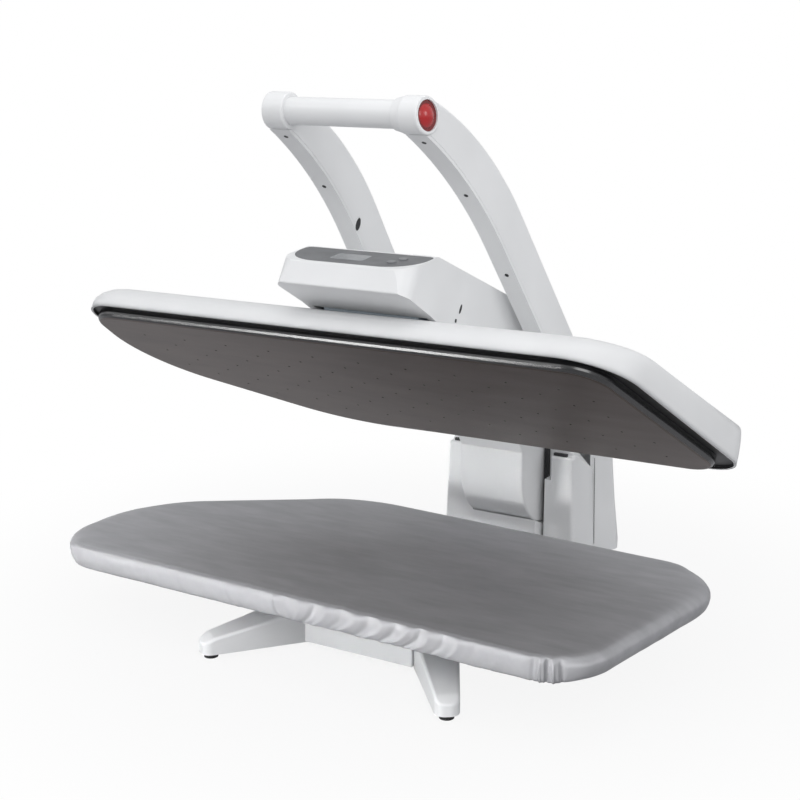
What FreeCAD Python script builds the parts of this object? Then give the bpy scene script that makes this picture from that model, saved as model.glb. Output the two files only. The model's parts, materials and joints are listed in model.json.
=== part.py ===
"""Tabletop steam ironing press, drawn open: a padded board on a splayed base, and a heated head
that swings on a hinge behind the board, with a long two-arm handle and a steam button in its grip."""
import FreeCAD, Part
import math
import os
import re

import Sketcher
from FreeCAD import Placement, Rotation, Vector

doc = FreeCAD.newDocument("steam_press")
sheet = doc.addObject("Spreadsheet::Sheet", "dims")

# Driving dimensions in millimetres and degrees. Heights are above the table. The head and the handle
# are laid out as they lie when the press is shut, and are turned up about the hinge at the end.
SIZES = [
    # Where the main pieces stand
    ("mech_x", 20.5, "centre plane of base, hinge and handle, right of the board's middle"),
    ("board_front", -345, "front edge of the board along Y"),
    ("board_top", 110, "top of the covered board"),
    ("hinge_reach", 559.5, "hinge axis behind the board's front edge"),
    ("hinge_rise", 54.6, "hinge axis above the board's top"),
    ("open_angle", 32.4, "angle between board and sole when open"),
    # Board outline: corner places and corner radii
    ("front_right", 359.5, "front right corner along X"),
    ("tail_right", 427.5, "rear right corner along X"),
    ("tail_right_depth", 357, "rear right corner behind the front edge"),
    ("tail_left", -151.5, "rear left corner along X"),
    ("tail_left_depth", 387, "rear left corner behind the front edge"),
    ("shoulder_left", -413.5, "shoulder of the nose along X"),
    ("shoulder_depth", 215, "shoulder of the nose behind the front edge"),
    ("nose_left", -419.5, "left end of the nose along X"),
    ("nose_depth", 18, "front of the nose behind the front edge"),
    ("round_front", 76, "front right corner radius"),
    ("round_tail", 92, "rear right corner radius"),
    ("round_back", 238, "rear left corner radius"),
    ("round_shoulder", 180, "shoulder radius"),
    ("round_nose", 78, "nose radius"),
    # Sole outline: how far its corners lie inside the board's corners, and how much tighter they turn
    ("sole_side", 23, "sole inside the board at the right, along X"),
    ("sole_front", 14, "sole behind the board's front edge"),
    ("sole_tail", 12, "sole ahead of the board's rear right corner"),
    ("sole_back", 24, "sole ahead of the board's rear left corner"),
    ("sole_shoulder", 16, "sole ahead of the board's shoulder"),
    ("sole_nose", 40, "sole inside the board at the nose, along X"),
    ("sole_tighter", 26, "sole corner radii less than the board's"),
    ("sole_corner", 46, "sole's rear right corner radius"),
    # Skirt outline: how far its corners lie outside the sole's corners
    ("skirt_side", 21, "skirt outside the sole at the right, along X"),
    ("skirt_front", 16, "skirt ahead of the sole's front edge"),
    ("skirt_tail", 14, "skirt behind the sole's rear right corner"),
    ("skirt_back", 37, "skirt behind the sole's rear left corner"),
    ("skirt_shoulder", 22, "skirt behind the sole's shoulder"),
    ("skirt_nose", 5, "skirt outside the sole at the nose, along X"),
    ("skirt_wider", 32, "skirt corner radii more than the sole's at the right"),
    # Crown: how far the shell's flat top lies inside the skirt's corners
    ("crown_front", 62, "crown behind the skirt's front edge"),
    ("crown_side", 1.5, "crown inside the skirt at the right, along X"),
    ("crown_back", 24, "crown ahead of the skirt's rear edge"),
    ("crown_nose", 24, "crown inside the skirt at the nose, along X"),
    ("crown_turn", 0.7, "crown corner radii as a share of the skirt's"),
    # Board
    ("cover_drop", 32, "height of the cover's side"),
    ("cover_skin", 1.6, "cloth and felt thickness"),
    ("hem_turn", 15, "hem turned under the board"),
    ("pad_thick", 18, "foam thickness"),
    ("tray_inset", 8, "tray edge inside the cover's edge"),
    ("tray_depth", 10.2, "height of the tray's rim"),
    ("tray_sheet", 1.5, "tray sheet thickness"),
    ("vent_radius", 9, "vent hole in the tray"),
    ("vent_pitch", 72, "distance between vent holes"),
    ("soft_gap", 0.3, "gap between soft layers"),
    # Base
    ("foot_height", 7, "rubber foot height"),
    ("foot_radius", 9, "rubber foot radius"),
    ("beam_front", -247, "front face of the cross beam"),
    ("beam_depth", 32, "depth of the cross beam"),
    ("beam_half", 78, "half length of the cross beam"),
    ("beam_top", 66, "top of the cross beam"),
    ("beam_low", 10, "underside of the cross beam"),
    ("leg_tip_half", 168.5, "front foot from the centre plane"),
    ("leg_tip_y", -325, "front foot along Y"),
    ("leg_root_width", 62, "leg width at the beam"),
    ("leg_tip_width", 28, "leg width at the foot"),
    ("leg_root_out", 22, "middle of the leg's root outside the beam's end"),
    ("leg_tip_height", 29, "top of the leg above the table at the foot"),
    ("leg_root_height", 46, "top of the leg above the table at the beam"),
    ("spine_half", 40, "half width of the spine"),
    ("spine_top", 28, "top of the spine"),
    ("support_half", 180, "half length of a board support"),
    ("support_front", -190, "front support along Y"),
    ("support_pitch", 150, "distance between the two supports"),
    ("support_width", 26, "width of a support"),
    # Column
    ("column_front", 180, "front face of the uprights"),
    ("column_seam", 257, "seam between uprights and rear cover"),
    ("column_top", 186, "top of the uprights"),
    ("brow_height", 168, "top of the uprights' front lip"),
    ("brow_depth", 12, "depth of the front lip"),
    ("seam_height", 150, "top of the uprights at the seam"),
    ("seam_slope", 21, "run of the slope down to the seam"),
    ("step_height", 131, "top of the low step beside the neck"),
    ("step_width", 10, "width of the low step"),
    ("upright_half", 99, "half width over the uprights at the shoulder"),
    ("upright_foot_half", 107, "half width over the uprights at the foot"),
    ("bevel_height", 171, "outer bevel's lower edge at the front"),
    ("bevel_fall", 0.57, "fall of the bevel's lower edge towards the rear, per unit of run"),
    ("stop_height", 4, "rubber stop on the front lip"),
    ("rear_low", 2, "lower edge of the rear cover"),
    ("rear_high", 180, "top of the rear cover"),
    ("rear_flare", 132, "half width of the rear cover at its widest"),
    ("rear_flare_run", 32, "widest place behind the seam"),
    ("rear_tail_half", 112, "half width at the rear face"),
    ("rear_lean", 8, "rear cover narrower at its top, each side"),
    ("rear_rake", 36, "rear face leaning forward over its height"),
    ("rear_wall", 4, "wall of the rear cover"),
    ("column_foot_rear", 343, "rear of the column at its foot"),
    ("rear_foot_x", 84, "rear foot from the centre plane"),
    ("rear_foot_y", 308, "rear foot along Y"),
    ("plate_thick", 6, "base plate and yoke thickness"),
    ("cheek_half", 52, "inner face of a yoke cheek from the centre plane"),
    ("axle_radius", 8, "hinge axle radius"),
    ("axle_half", 74, "half length of the hinge axle"),
    ("run_gap", 0.05, "running clearance on a radius"),
    ("fit_gap", 0.1, "fixed clearance on a radius"),
    ("seat_gap", 0.3, "gap between seated pieces"),
    # Head
    ("shut_gap", 1, "sole above the board when shut"),
    ("sole_thick", 9, "platen thickness"),
    ("sole_lip", 4, "raised edge on the platen"),
    ("sole_lip_width", 8, "width of the platen's raised edge"),
    ("sole_round", 7, "rounding of the sole's edge"),
    ("hole_radius", 1.5, "steam hole radius"),
    ("hole_pitch_x", 66, "steam hole spacing along X"),
    ("hole_pitch_y", 27, "steam hole spacing along Y"),
    ("hole_margin", 40, "steam holes inside the sole's edge"),
    ("skirt_lift", 10, "skirt's lower edge above the sole"),
    ("skirt_height", 42, "height of the head shell"),
    ("shell_wall", 3, "moulded wall thickness"),
    ("rim_thick", 4, "black rim thickness"),
    ("rim_lap", 16, "black rim inside the sole's edge"),
    ("heater_radius", 4, "heating tube radius"),
    ("heater_half", 90, "half distance between the heater's two runs"),
    ("chamber_height", 12, "steam chamber height"),
    ("shield_thick", 1, "heat shield thickness"),
    ("stud_radius", 5, "platen stud radius"),
    ("hose_radius", 5, "steam hose radius"),
    ("hose_bore", 3, "steam hose bore radius"),
    # Neck
    ("neck_half", 50, "half width of the neck cover"),
    ("neck_front", 94, "neck's front face ahead of the hinge, head open"),
    ("neck_drop", 105, "neck's lower end below the hinge, head open"),
    ("neck_crease", 20, "crease of the neck's front face above the hinge, head open"),
    ("neck_back", 42, "neck's rear face behind the hinge, head open"),
    ("frame_sheet", 5, "neck frame sheet"),
    ("bush_wall", 3, "wall of a bush"),
    ("spring_wall", 8, "depth of a spring's turns"),
    # Control hood
    ("hood_half", 90, "half width of the hood at its front"),
    ("hood_rear_half", 84, "half width of the hood at its rear"),
    ("hood_front", -381, "front of the hood"),
    ("hood_rear", -17, "rear of the hood"),
    ("hood_face", 24, "height of the hood's front face"),
    ("panel_run", 55, "depth of the sloping panel face along Y"),
    ("panel_rise", 42, "rise of the sloping panel face"),
    ("hood_peak_y", -80, "highest line of the hood along Y"),
    ("hood_peak_rise", 48, "highest line above the panel face"),
    ("hood_round", 24, "front corner radius of the hood"),
    ("hood_wall", 4.5, "hood wall"),
    ("lip_run", 75, "depth of the recess under the hood's front lip"),
    ("lip_drop", 4, "hood's front lip below its base"),
    ("panel_length", 176, "control panel length"),
    ("panel_width", 61, "control panel width"),
    ("panel_thick", 2.2, "control panel thickness"),
    ("window_length", 46, "display window length"),
    ("window_width", 26, "display window width"),
    ("window_thick", 1, "display window thickness"),
    ("key_radius", 5.5, "panel button radius"),
    ("key_travel", 1, "panel button travel"),
    ("board_sheet", 1.6, "circuit board thickness"),
    ("board_depth", 13, "circuit board below the panel's face"),
    ("tank_half", 66, "half width of the water tank"),
    ("cap_radius", 16, "filler cap radius"),
    ("cap_side", 42, "filler cap right of the centre plane"),
    ("cap_back", 48, "filler cap behind the panel's upper edge"),
    # Handle
    ("pivot_y", 120, "handle pivot along Y, head shut"),
    ("pivot_z", 207, "handle pivot height, head shut"),
    ("pivot_radius", 8, "handle shaft radius"),
    ("grip_y", -459, "grip axis along Y, head shut"),
    ("grip_z", 342, "grip axis height, head shut"),
    ("arm_straight", 354, "straight run of an arm from its pivot"),
    ("arm_slope", 18.6, "slope of the straight run"),
    ("arm_half", 31, "half width of an arm"),
    ("arm_tip_half", 21, "half width of an arm at the grip"),
    ("arm_thick", 26, "arm thickness along X"),
    ("arm_out", 91, "arm's middle from the centre plane at the grip"),
    ("arm_splay", 3.2, "arm turned outwards towards its pivot"),
    ("arm_round", 5, "arm edge radius"),
    ("strip_thick", 4, "screwed strip on an arm's lower side"),
    ("screw_radius", 3, "strip screw head radius"),
    ("boss_radius", 21.5, "grip boss radius"),
    ("boss_length", 28, "grip boss length"),
    ("boss_flare", 12, "cone between grip and right boss"),
    ("grip_radius", 16, "grip tube radius"),
    ("grip_wall", 2, "grip tube wall"),
    ("button_radius", 17.2, "steam button radius"),
    ("button_dome", 5, "steam button dome height"),
    ("button_travel", 3, "steam button travel"),
    ("button_tilt", 11, "right end of the grip turned towards the user"),
    ("button_sink", 2, "steam button's rim below the boss's end"),
]
for row, (alias, size, meaning) in enumerate(SIZES, 1):
    sheet.set("A%d" % row, alias)
    sheet.set("B%d" % row, str(size))
    sheet.set("C%d" % row, meaning)
    sheet.setAlias("B%d" % row, alias)
doc.recompute()
ALIASES = {alias for alias, size, meaning in SIZES}
PARTS = []


def bound(text):
    """Turn the size names of an expression into references to the sheet."""
    return re.sub(r"[a-z][a-z_]*", lambda m: "dims." + m.group() if m.group() in ALIASES else m.group(), text)


def val(text):
    """Value of an expression of size names."""
    return float(sheet.evalExpression(bound(text)))


HINGE = Vector(0, val("board_front + hinge_reach"), val("board_top + hinge_rise"))
FIXED = Placement()
OPENED = Placement(Vector(), Rotation(Vector(1, 0, 0), -val("open_angle")), HINGE)
MID = val("mech_x")
X_AXIS = Vector(1, 0, 0)
Z_AXIS = Vector(0, 0, 1)


# Ways to make a sub-part

def keep(obj, pose=FIXED):
    """Register a finished sub-part and put it in its pose."""
    obj.Placement = pose
    PARTS.append(obj)
    return obj


def shaped(label, shape, pose=FIXED):
    """Sub-part whose form needs lofts or curves of its own."""
    obj = doc.addObject("Part::Feature", label)
    obj.Label = label
    obj.Shape = shape
    return keep(obj, pose.multiply(shape.Placement))


def set_exprs(obj, pairs):
    """Bind properties of an object to expressions of size names."""
    for prop, text in pairs:
        obj.setExpression(prop, bound(text))


def rod(name, radius, length, x, y, z, axis=X_AXIS):
    """Bound cylinder that starts at a place and runs along an axis."""
    obj = doc.addObject("Part::Cylinder", name)
    obj.Placement = Placement(Vector(), Rotation(Z_AXIS, axis))
    set_exprs(obj, [("Radius", radius), ("Height", length), ("Placement.Base.x", x),
                    ("Placement.Base.y", y), ("Placement.Base.z", z)])
    return obj


def block(name, x, y, z, length, width, height):
    """Bound box from its low corner."""
    obj = doc.addObject("Part::Box", name)
    set_exprs(obj, [("Length", length), ("Width", width), ("Height", height), ("Placement.Base.x", x),
                    ("Placement.Base.y", y), ("Placement.Base.z", z)])
    return obj


def cut(label, base, tools, pose=FIXED):
    """Sub-part made of one solid less others."""
    tool = tools[0]
    if len(tools) > 1:
        tool = doc.addObject("Part::MultiFuse", label + "_tools")
        tool.Shapes = tools
    obj = doc.addObject("Part::Cut", label)
    obj.Label = label
    obj.Base = base
    obj.Tool = tool
    return keep(obj, pose)


def group(label, pieces, pose=FIXED):
    """Sub-part of several alike solids."""
    obj = doc.addObject("Part::Compound", label)
    obj.Label = label
    obj.Links = pieces
    return keep(obj, pose)


def fuse(name, pieces):
    """Union of bound solids, for use in a cut."""
    obj = doc.addObject("Part::MultiFuse", name)
    obj.Shapes = pieces
    return obj


def profile_body(label, plane, corners, start, length, round_size=None, round_edge=None, pose=FIXED):
    """Body padded from a polygon whose corners are bound to the sheet, with chosen edges rounded."""
    body = doc.addObject("PartDesign::Body", label)
    body.Label = label
    sketch = body.newObject("Sketcher::SketchObject", label + "_profile")
    sketch.AttachmentSupport = [(next(o for o in body.Origin.OriginFeatures if o.Role == plane), "")]
    sketch.MapMode = "FlatFace"
    points = [Vector(val(across), val(up), 0) for across, up in corners]
    for index, point in enumerate(points):
        sketch.addGeometry(Part.LineSegment(point, points[(index + 1) % len(points)]), False)
    for index in range(len(points)):
        sketch.addConstraint(Sketcher.Constraint("Coincident", index, 2, (index + 1) % len(points), 1))
    for index, corner in enumerate(corners):
        for kind, text in zip(("DistanceX", "DistanceY"), corner):
            number = sketch.addConstraint(Sketcher.Constraint(kind, -1, 1, index, 1, val(text)))
            sketch.setExpression("Constraints[%d]" % number, bound(text))
    sketch.setExpression("AttachmentOffset.Base.z", bound(start))
    pad = body.newObject("PartDesign::Pad", label + "_pad")
    pad.Profile = sketch
    pad.setExpression("Length", bound(length))
    if round_size:
        doc.recompute()
        names = ["Edge%d" % (n + 1) for n, edge in enumerate(pad.Shape.Edges) if round_edge(edge)]
        fillet = body.newObject("PartDesign::Fillet", label + "_round")
        fillet.Base = (pad, names)
        fillet.setExpression("Radius", bound(round_size))
        body.Tip = fillet
    return keep(body, pose)


def rounded_wire(corners, radii, grow=0.0):
    """Closed wire through corners taken anticlockwise, moved outwards by grow, each with its own radius."""
    count = len(corners)
    sides = []
    for index, corner in enumerate(corners):
        run = (corners[(index + 1) % count] - corner).normalize()
        sides.append((corner + Vector(run.y, -run.x, 0) * grow, run))
    ends = []
    for index in range(count):
        (first, run_in), (second, run_out) = sides[index - 1], sides[index]
        across = run_in.cross(run_out).z
        along = (second - first).cross(run_out).z / across
        corner = first + run_in * along
        half_turn = run_in.getAngle(run_out) / 2
        radius = max(radii[index] + grow, 0.0)
        inward = (run_out - run_in).normalize()
        reach = radius * math.tan(half_turn)
        crest = corner + inward * (radius / math.cos(half_turn) - radius)
        ends.append((corner - run_in * reach, crest, corner + run_out * reach, radius))
    edges = []
    for index, (arrive, crest, leave, radius) in enumerate(ends):
        if radius:
            edges.append(Part.Arc(arrive, crest, leave).toShape())
        edges.append(Part.LineSegment(leave, ends[(index + 1) % count][0]).toShape())
    return Part.Wire(edges)


# Corners of the three outlines as X and depth behind the board's front edge, and their radii
BOARD = ([("front_right", "0"), ("tail_right", "tail_right_depth"), ("tail_left", "tail_left_depth"),
          ("shoulder_left", "shoulder_depth"), ("nose_left", "nose_depth")],
         ["round_front", "round_tail", "round_back", "round_shoulder", "round_nose"])
SOLE_MOVES = [("-sole_side", "+sole_front"), ("-sole_side", "-sole_tail"), ("-sole_tail", "-sole_back"),
              ("+0", "-sole_shoulder"), ("+sole_nose", "-sole_tail / 2 + sole_front")]
SOLE_EDGE = ([(x + dx, y + dy) for (x, y), (dx, dy) in zip(BOARD[0], SOLE_MOVES)],
             [radius + " - sole_tighter" for radius in BOARD[1]])
SOLE_EDGE[1][1] = "sole_corner"
SKIRT_MOVES = [("+skirt_side", "-skirt_front"), ("+skirt_side", "+skirt_tail"), ("-skirt_front", "+skirt_back"),
               ("-skirt_nose", "+skirt_shoulder"), ("-skirt_nose", "-skirt_front")]
SKIRT_TURNS = ["+skirt_wider", "+crown_side", "+skirt_wider / 2", "+skirt_wider / 2", "+skirt_nose"]
SKIRT_EDGE = ([(x + dx, y + dy) for (x, y), (dx, dy) in zip(SOLE_EDGE[0], SKIRT_MOVES)],
              [radius + more for radius, more in zip(SOLE_EDGE[1], SKIRT_TURNS)])
CROWN_MOVES = [("-crown_side", "+crown_front"), ("-crown_side", "-crown_back"), ("+crown_side", "-crown_back"),
               ("+crown_nose", "-crown_back"), ("+crown_nose", "+crown_front")]
CROWN_EDGE = ([(x + dx, y + dy) for (x, y), (dx, dy) in zip(SKIRT_EDGE[0], CROWN_MOVES)],
              ["(%s) * crown_turn" % radius for radius in SKIRT_EDGE[1]])


def outline(edge, grow, height):
    """One of the three outlines, moved outwards by grow and set at a height."""
    corners, radii = edge
    front = val("board_front")
    wire = rounded_wire([Vector(val(x), front + val(y), 0) for x, y in corners], [val(r) for r in radii], grow)
    wire.translate(Vector(0, 0, height))
    return wire


def slab(edge, grow, low, high):
    """Flat solid of an outline between two heights."""
    return Part.Face(outline(edge, grow, low)).extrude(Vector(0, 0, high - low))


def layered(edge, sections):
    """Solid lofted through (grow, height) pairs of an outline."""
    return Part.makeLoft([outline(edge, grow, height) for grow, height in sections], True, True)


def between(first, second, share):
    """Outline part of the way from one to another."""
    def mix(a, b):
        return "(%s) * (1 - %g) + (%s) * %g" % (a, share, b, share)
    corners = [(mix(x, u), mix(y, v)) for (x, y), (u, v) in zip(first[0], second[0])]
    return corners, [mix(a, b) for a, b in zip(first[1], second[1])]


def side_prism(corners, radii, half, grow=0.0, middle=MID):
    """Solid of a profile in the YZ plane, taken anticlockwise seen from +X, of a half width each way."""
    wire = rounded_wire([Vector(y, z, 0) for y, z in corners], radii, grow)
    solid = Part.Face(wire).extrude(Vector(0, 0, 2 * half))
    solid.Placement = Placement(Vector(middle - half, 0, 0), Rotation(0.5, 0.5, 0.5, 0.5))
    return solid


def plan_prism(corners, radii, low, high, grow=0.0):
    """Solid of a plan outline between two heights."""
    wire = rounded_wire([Vector(x, y, 0) for x, y in corners], radii, grow)
    solid = Part.Face(wire).extrude(Vector(0, 0, high - low))
    solid.translate(Vector(0, 0, low))
    return solid


def cylinder(radius, start, direction, length):
    """Plain cylinder from a point along a direction."""
    return Part.makeCylinder(radius, length, start, direction)


# Board: tray on two supports, foam, and a gathered cloth cover

# How the cover's edge rolls over: share of the roll inwards, and drop below the top
COVER_ROLL = [(6, 1.0), (1.2, 0.88), (0, 0.66), (0.7, 0.42), (3.2, 0.22), (8.5, 0.09), (17, 0.03), (34, 0)]


def cushion(grow, top, drop):
    """Covered board: sides drawn in at the hem and a soft roll up to a flat top."""
    return layered(BOARD, [(grow - inset, top - drop * share) for inset, share in COVER_ROLL])


BOARD_TOP = val("board_top")
PAD_TOP = val("board_top - cover_skin - soft_gap")
PAD_LOW = val("board_top - cover_skin - soft_gap - pad_thick")
TRAY_LOW = PAD_LOW - val("tray_depth")
COVER_LOW = val("board_top - cover_drop")


def vents():
    """Vent holes over the tray, in staggered rows, as one tool."""
    pitch = val("vent_pitch")
    inside = Part.Face(outline(BOARD, -val("tray_inset") - pitch / 2, 0))
    box = inside.BoundBox
    tools = []
    for row in range(int(box.YLength / pitch) + 1):
        for step in range(int(box.XLength / pitch) + 1):
            spot = Vector(box.XMin + (step + 0.5 * (row % 2)) * pitch, box.YMin + row * pitch, 0)
            if inside.isInside(spot, 0.01, True):
                tools.append(cylinder(val("vent_radius"), spot + Vector(0, 0, TRAY_LOW), Z_AXIS, val("tray_depth")))
    return Part.makeCompound(tools)


def make_board():
    tray = slab(BOARD, -val("tray_inset"), TRAY_LOW, PAD_LOW)
    hollow = slab(BOARD, -val("tray_inset + tray_sheet"), TRAY_LOW, PAD_LOW - val("tray_sheet"))
    shaped("board_tray", tray.cut(hollow).cut(vents()))
    soft = cushion(-val("cover_skin + soft_gap"), PAD_TOP, val("cover_drop"))
    shaped("foam_pad", soft.common(slab(BOARD, 0, PAD_LOW, BOARD_TOP)))
    inner = cushion(-val("cover_skin"), val("board_top - cover_skin"), val("cover_drop - 2 * cover_skin"))
    mouth = slab(BOARD, -val("hem_turn"), COVER_LOW - val("cover_skin"), val("board_top - cover_drop / 2"))
    shaped("board_cover", cushion(0, BOARD_TOP, val("cover_drop")).cut(inner).cut(mouth))


def make_supports():
    bars = []
    under = "(board_top - cover_skin - soft_gap - pad_thick - tray_sheet)"
    for name, place in (("front", "support_front"), ("rear", "support_front + support_pitch")):
        bar = block("support_bar_" + name, "mech_x - support_half", place, "beam_top",
                    "2 * support_half", "support_width", under + " - beam_top")
        post = block("support_post_" + name, "mech_x - spine_half", place, "spine_top",
                     "2 * spine_half", "support_width", "beam_top - spine_top")
        bars.append(fuse("support_" + name, [bar, post]))
    group("board_supports", bars)


# Base: beam, spine, splayed front legs and column plate

def upward(edge):
    """True for an edge along Z."""
    return abs(edge.Vertexes[0].Z - edge.Vertexes[-1].Z) > edge.Length - 1e-4


def leg(side):
    """Tapered front leg from the beam's end out to its foot, side -1 left and 1 right."""
    root = Vector(MID + side * val("beam_half + leg_root_out"), val("beam_front + 0.7 * beam_depth"), 0)
    tip = Vector(MID + side * val("leg_tip_half"), val("leg_tip_y"), 0)
    run = tip - root
    low, top, toe_top = val("foot_height"), val("leg_root_height"), val("leg_tip_height")
    toe = val("leg_tip_width / 2")
    end = run.Length + toe
    wide = val("leg_root_width / 2")
    plan = plan_prism([(-wide, -wide), (end, -toe), (end, toe), (-wide, wide)],
                      [wide * 0.2, toe * 0.9, toe * 0.9, wide * 0.2], low, top)
    walls = [(-wide, low), (end, low), (end, toe_top - toe * 0.5), (end - toe, toe_top), (wide, top), (-wide, top)]
    wire = rounded_wire([Vector(x, z, 0) for x, z in walls], [0, 0, toe * 0.3, toe, wide, 0])
    side_view = Part.Face(wire).extrude(Vector(0, 0, 2 * wide))
    side_view.Placement = Placement(Vector(0, wide, 0), Rotation(X_AXIS, 90))
    solid = plan.common(side_view)
    ridge = [e for e in solid.Edges if e.BoundBox.ZMax > toe_top and e.BoundBox.ZMin > low + 1
             and e.BoundBox.XLength > toe and abs(e.BoundBox.Center.y) > 1]
    solid = solid.makeFillet(toe * 0.3, ridge)
    solid.Placement = Placement(root, Rotation(X_AXIS, run))
    inside = Part.makeBox(val("2 * beam_half"), 4 * run.Length, 2 * top,
                          Vector(MID - val("beam_half"), root.y - 2 * run.Length, -low))
    return solid.cut(inside)


def make_base():
    profile_body("front_beam", "XY_Plane", [
        ("mech_x - beam_half", "beam_front"), ("mech_x + beam_half", "beam_front"),
        ("mech_x + beam_half", "beam_front + beam_depth"), ("mech_x - beam_half", "beam_front + beam_depth")],
        "beam_low", "beam_top - beam_low")
    profile_body("base_spine", "XY_Plane", [
        ("mech_x - spine_half", "beam_front + beam_depth"), ("mech_x + spine_half", "beam_front + beam_depth"),
        ("mech_x + spine_half", "column_front"), ("mech_x - spine_half", "column_front")],
        "foot_height", "spine_top - foot_height")
    shaped("front_leg_left", leg(-1))
    shaped("front_leg_right", leg(1))
    feet = []
    for name, x, y in (("front_left", "mech_x - leg_tip_half", "leg_tip_y"),
                       ("front_right", "mech_x + leg_tip_half", "leg_tip_y"),
                       ("rear_left", "mech_x - rear_foot_x", "rear_foot_y"),
                       ("rear_right", "mech_x + rear_foot_x", "rear_foot_y")):
        feet.append(rod("foot_" + name, "foot_radius", "foot_height", x, y, "0", Z_AXIS))
    group("rubber_feet", feet)


# Column: base plate, steel yoke, axle, side uprights and rear cover

def make_column():
    rear = "column_foot_rear - 3 * plate_thick"
    profile_body("column_plate", "XY_Plane", [
        ("mech_x - upright_half", "column_front"), ("mech_x + upright_half", "column_front"),
        ("mech_x + upright_half", rear), ("mech_x - upright_half", rear)], "foot_height", "plate_thick")
    floor = "foot_height + plate_thick"
    web = block("yoke_web", "mech_x - cheek_half", "column_front + 2 * plate_thick", floor,
                "2 * cheek_half", "column_seam - column_front - 3 * plate_thick", "plate_thick")
    cheeks = [block("yoke_cheek_" + name, x, "column_front + 2 * plate_thick", floor, "plate_thick",
                    "column_seam - column_front - 3 * plate_thick", "column_top - 2 * plate_thick - " + floor)
              for name, x in (("left", "mech_x - cheek_half - plate_thick"), ("right", "mech_x + cheek_half"))]
    pin_y, pin_z = "board_front + hinge_reach", "board_top + hinge_rise"
    bore = rod("yoke_bore", "axle_radius + fit_gap", "2 * axle_half", "mech_x - axle_half", pin_y, pin_z)
    cut("hinge_yoke", fuse("yoke_walls", cheeks + [web]), [bore])
    axle = rod("hinge_axle", "axle_radius", "2 * axle_half", "mech_x - axle_half", pin_y, pin_z)
    axle.Label = "hinge_axle"
    PARTS.append(axle)
    for side, name in ((-1, "left"), (1, "right")):
        shaped("upright_" + name, upright(side))
    shaped("rear_cover", rear_cover())
    near = "(cheek_half + plate_thick + seat_gap + step_width + 2)"
    width, depth = "upright_half - 8 - " + near, "brow_depth - 7"
    place = ("column_front + 2", "brow_height", width, depth, "stop_height")
    group("stop_pads", [block("stop_left", "mech_x - upright_half + 8", *place),
                        block("stop_right", "mech_x + " + near, *place)])


def front_prism(corners, low, high):
    """Solid of a profile in the XZ plane between two depths along Y."""
    wire = Part.makePolygon([Vector(x, low, z) for x, z in corners + corners[:1]])
    return Part.Face(wire).extrude(Vector(0, high - low, 0))


def upright(side):
    """Side housing of the column: stepped front, sloping rear, slanted outer bevel and a blind axle bore."""
    floor, top = val("foot_height + plate_thick"), val("column_top")
    inner = val("cheek_half + plate_thick") + val("seat_gap")
    front, seam = val("column_front"), val("column_seam")
    lip = front + val("brow_depth")
    wall = [(inner, floor), (val("upright_foot_half"), floor), (val("upright_half"), top), (inner, top)]
    across = front_prism([(MID + side * x, z) for x, z in wall], front, seam)
    profile = [(front, floor), (seam, floor), (seam, val("seam_height")), (seam - val("seam_slope"), top),
               (lip, top), (lip, val("brow_height")), (front, val("brow_height"))]
    solid = across.common(side_prism(profile, [0, 0, 0, 3, 5, 2, 4], val("upright_foot_half")))
    step = Part.makeBox(val("step_width"), 1.5 * val("brow_depth"), top, Vector(
        MID + min(side * inner, side * (inner + val("step_width"))), front, val("step_height")))
    solid = solid.cut(step)
    edge = [e for e in solid.Edges if e.BoundBox.YMax < front + 0.01 and e.BoundBox.ZLength > 0.5 * top
            and abs(e.BoundBox.Center.x - MID) > inner + 15]
    solid = solid.makeFillet(val("brow_depth") * 0.5, edge)
    reach = val("upright_foot_half")
    away = Part.makeBox(4 * reach, 4 * reach, reach, Vector(-2 * reach, -2 * reach, 0))
    away.Placement = Placement(Vector(MID + side * val("upright_half"), lip, val("bevel_height")),
                               Rotation(Z_AXIS, Vector(side, val("bevel_fall"), 1)))
    axle = cylinder(val("axle_radius + fit_gap"), Vector(MID - val("axle_half + fit_gap"), HINGE.y, HINGE.z),
                    X_AXIS, val("2 * axle_half + 2 * fit_gap"))
    return solid.cut(away).cut(axle)


def rear_form(inset):
    """Flared rear housing as a solid, with its sides, rear and top moved in by an inset."""
    seam, low, high = val("column_seam"), val("rear_low"), val("rear_high")
    flare, tail = val("rear_flare"), val("rear_tail_half")
    wires = []
    for height, lean, rake in ((low, 0, 0), (high, val("rear_lean"), val("rear_rake"))):
        rear = val("column_foot_rear") - rake
        waist = seam + val("rear_flare_run") * (rear - seam) / (val("column_foot_rear") - seam)
        near, wide = val("upright_foot_half") - 0.6 * lean, flare - lean
        early = 2 * inset / (waist - seam)
        half = [(near - early * (wide - near), seam - early * (waist - seam)), (wide, waist), (tail - lean, rear)]
        ring = [(MID + x, y) for x, y in half] + [(MID - x, y) for x, y in reversed(half)]
        wire = rounded_wire([Vector(x, y, 0) for x, y in ring], [0, 16, 14, 14, 16, 0], -inset)
        wire.translate(Vector(0, 0, height - (inset if rake else 0)))
        wires.append(wire)
    return Part.makeLoft(wires, True, True)


def rear_cover():
    """Hollow rear housing of the column, with a notch in its top that the neck swings into."""
    seam = val("column_seam")
    solid = rear_form(0).cut(rear_form(val("rear_wall")))
    front = Part.makeBox(800, 200, 800, Vector(MID - 400, seam - 200, -100))
    bay_half = val("cheek_half + plate_thick")
    bay = Part.makeBox(2 * bay_half, val("neck_drop") * 0.28, 200, Vector(MID - bay_half, seam, val("step_height")))
    inlet = cylinder(INLET_RADIUS + val("fit_gap"), Vector(MID - INLET_OFFSET, seam, INLET_HEIGHT),
                     Vector(0, 1, 0), 200)
    return solid.cut(front).cut(bay).cut(inlet)


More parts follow.
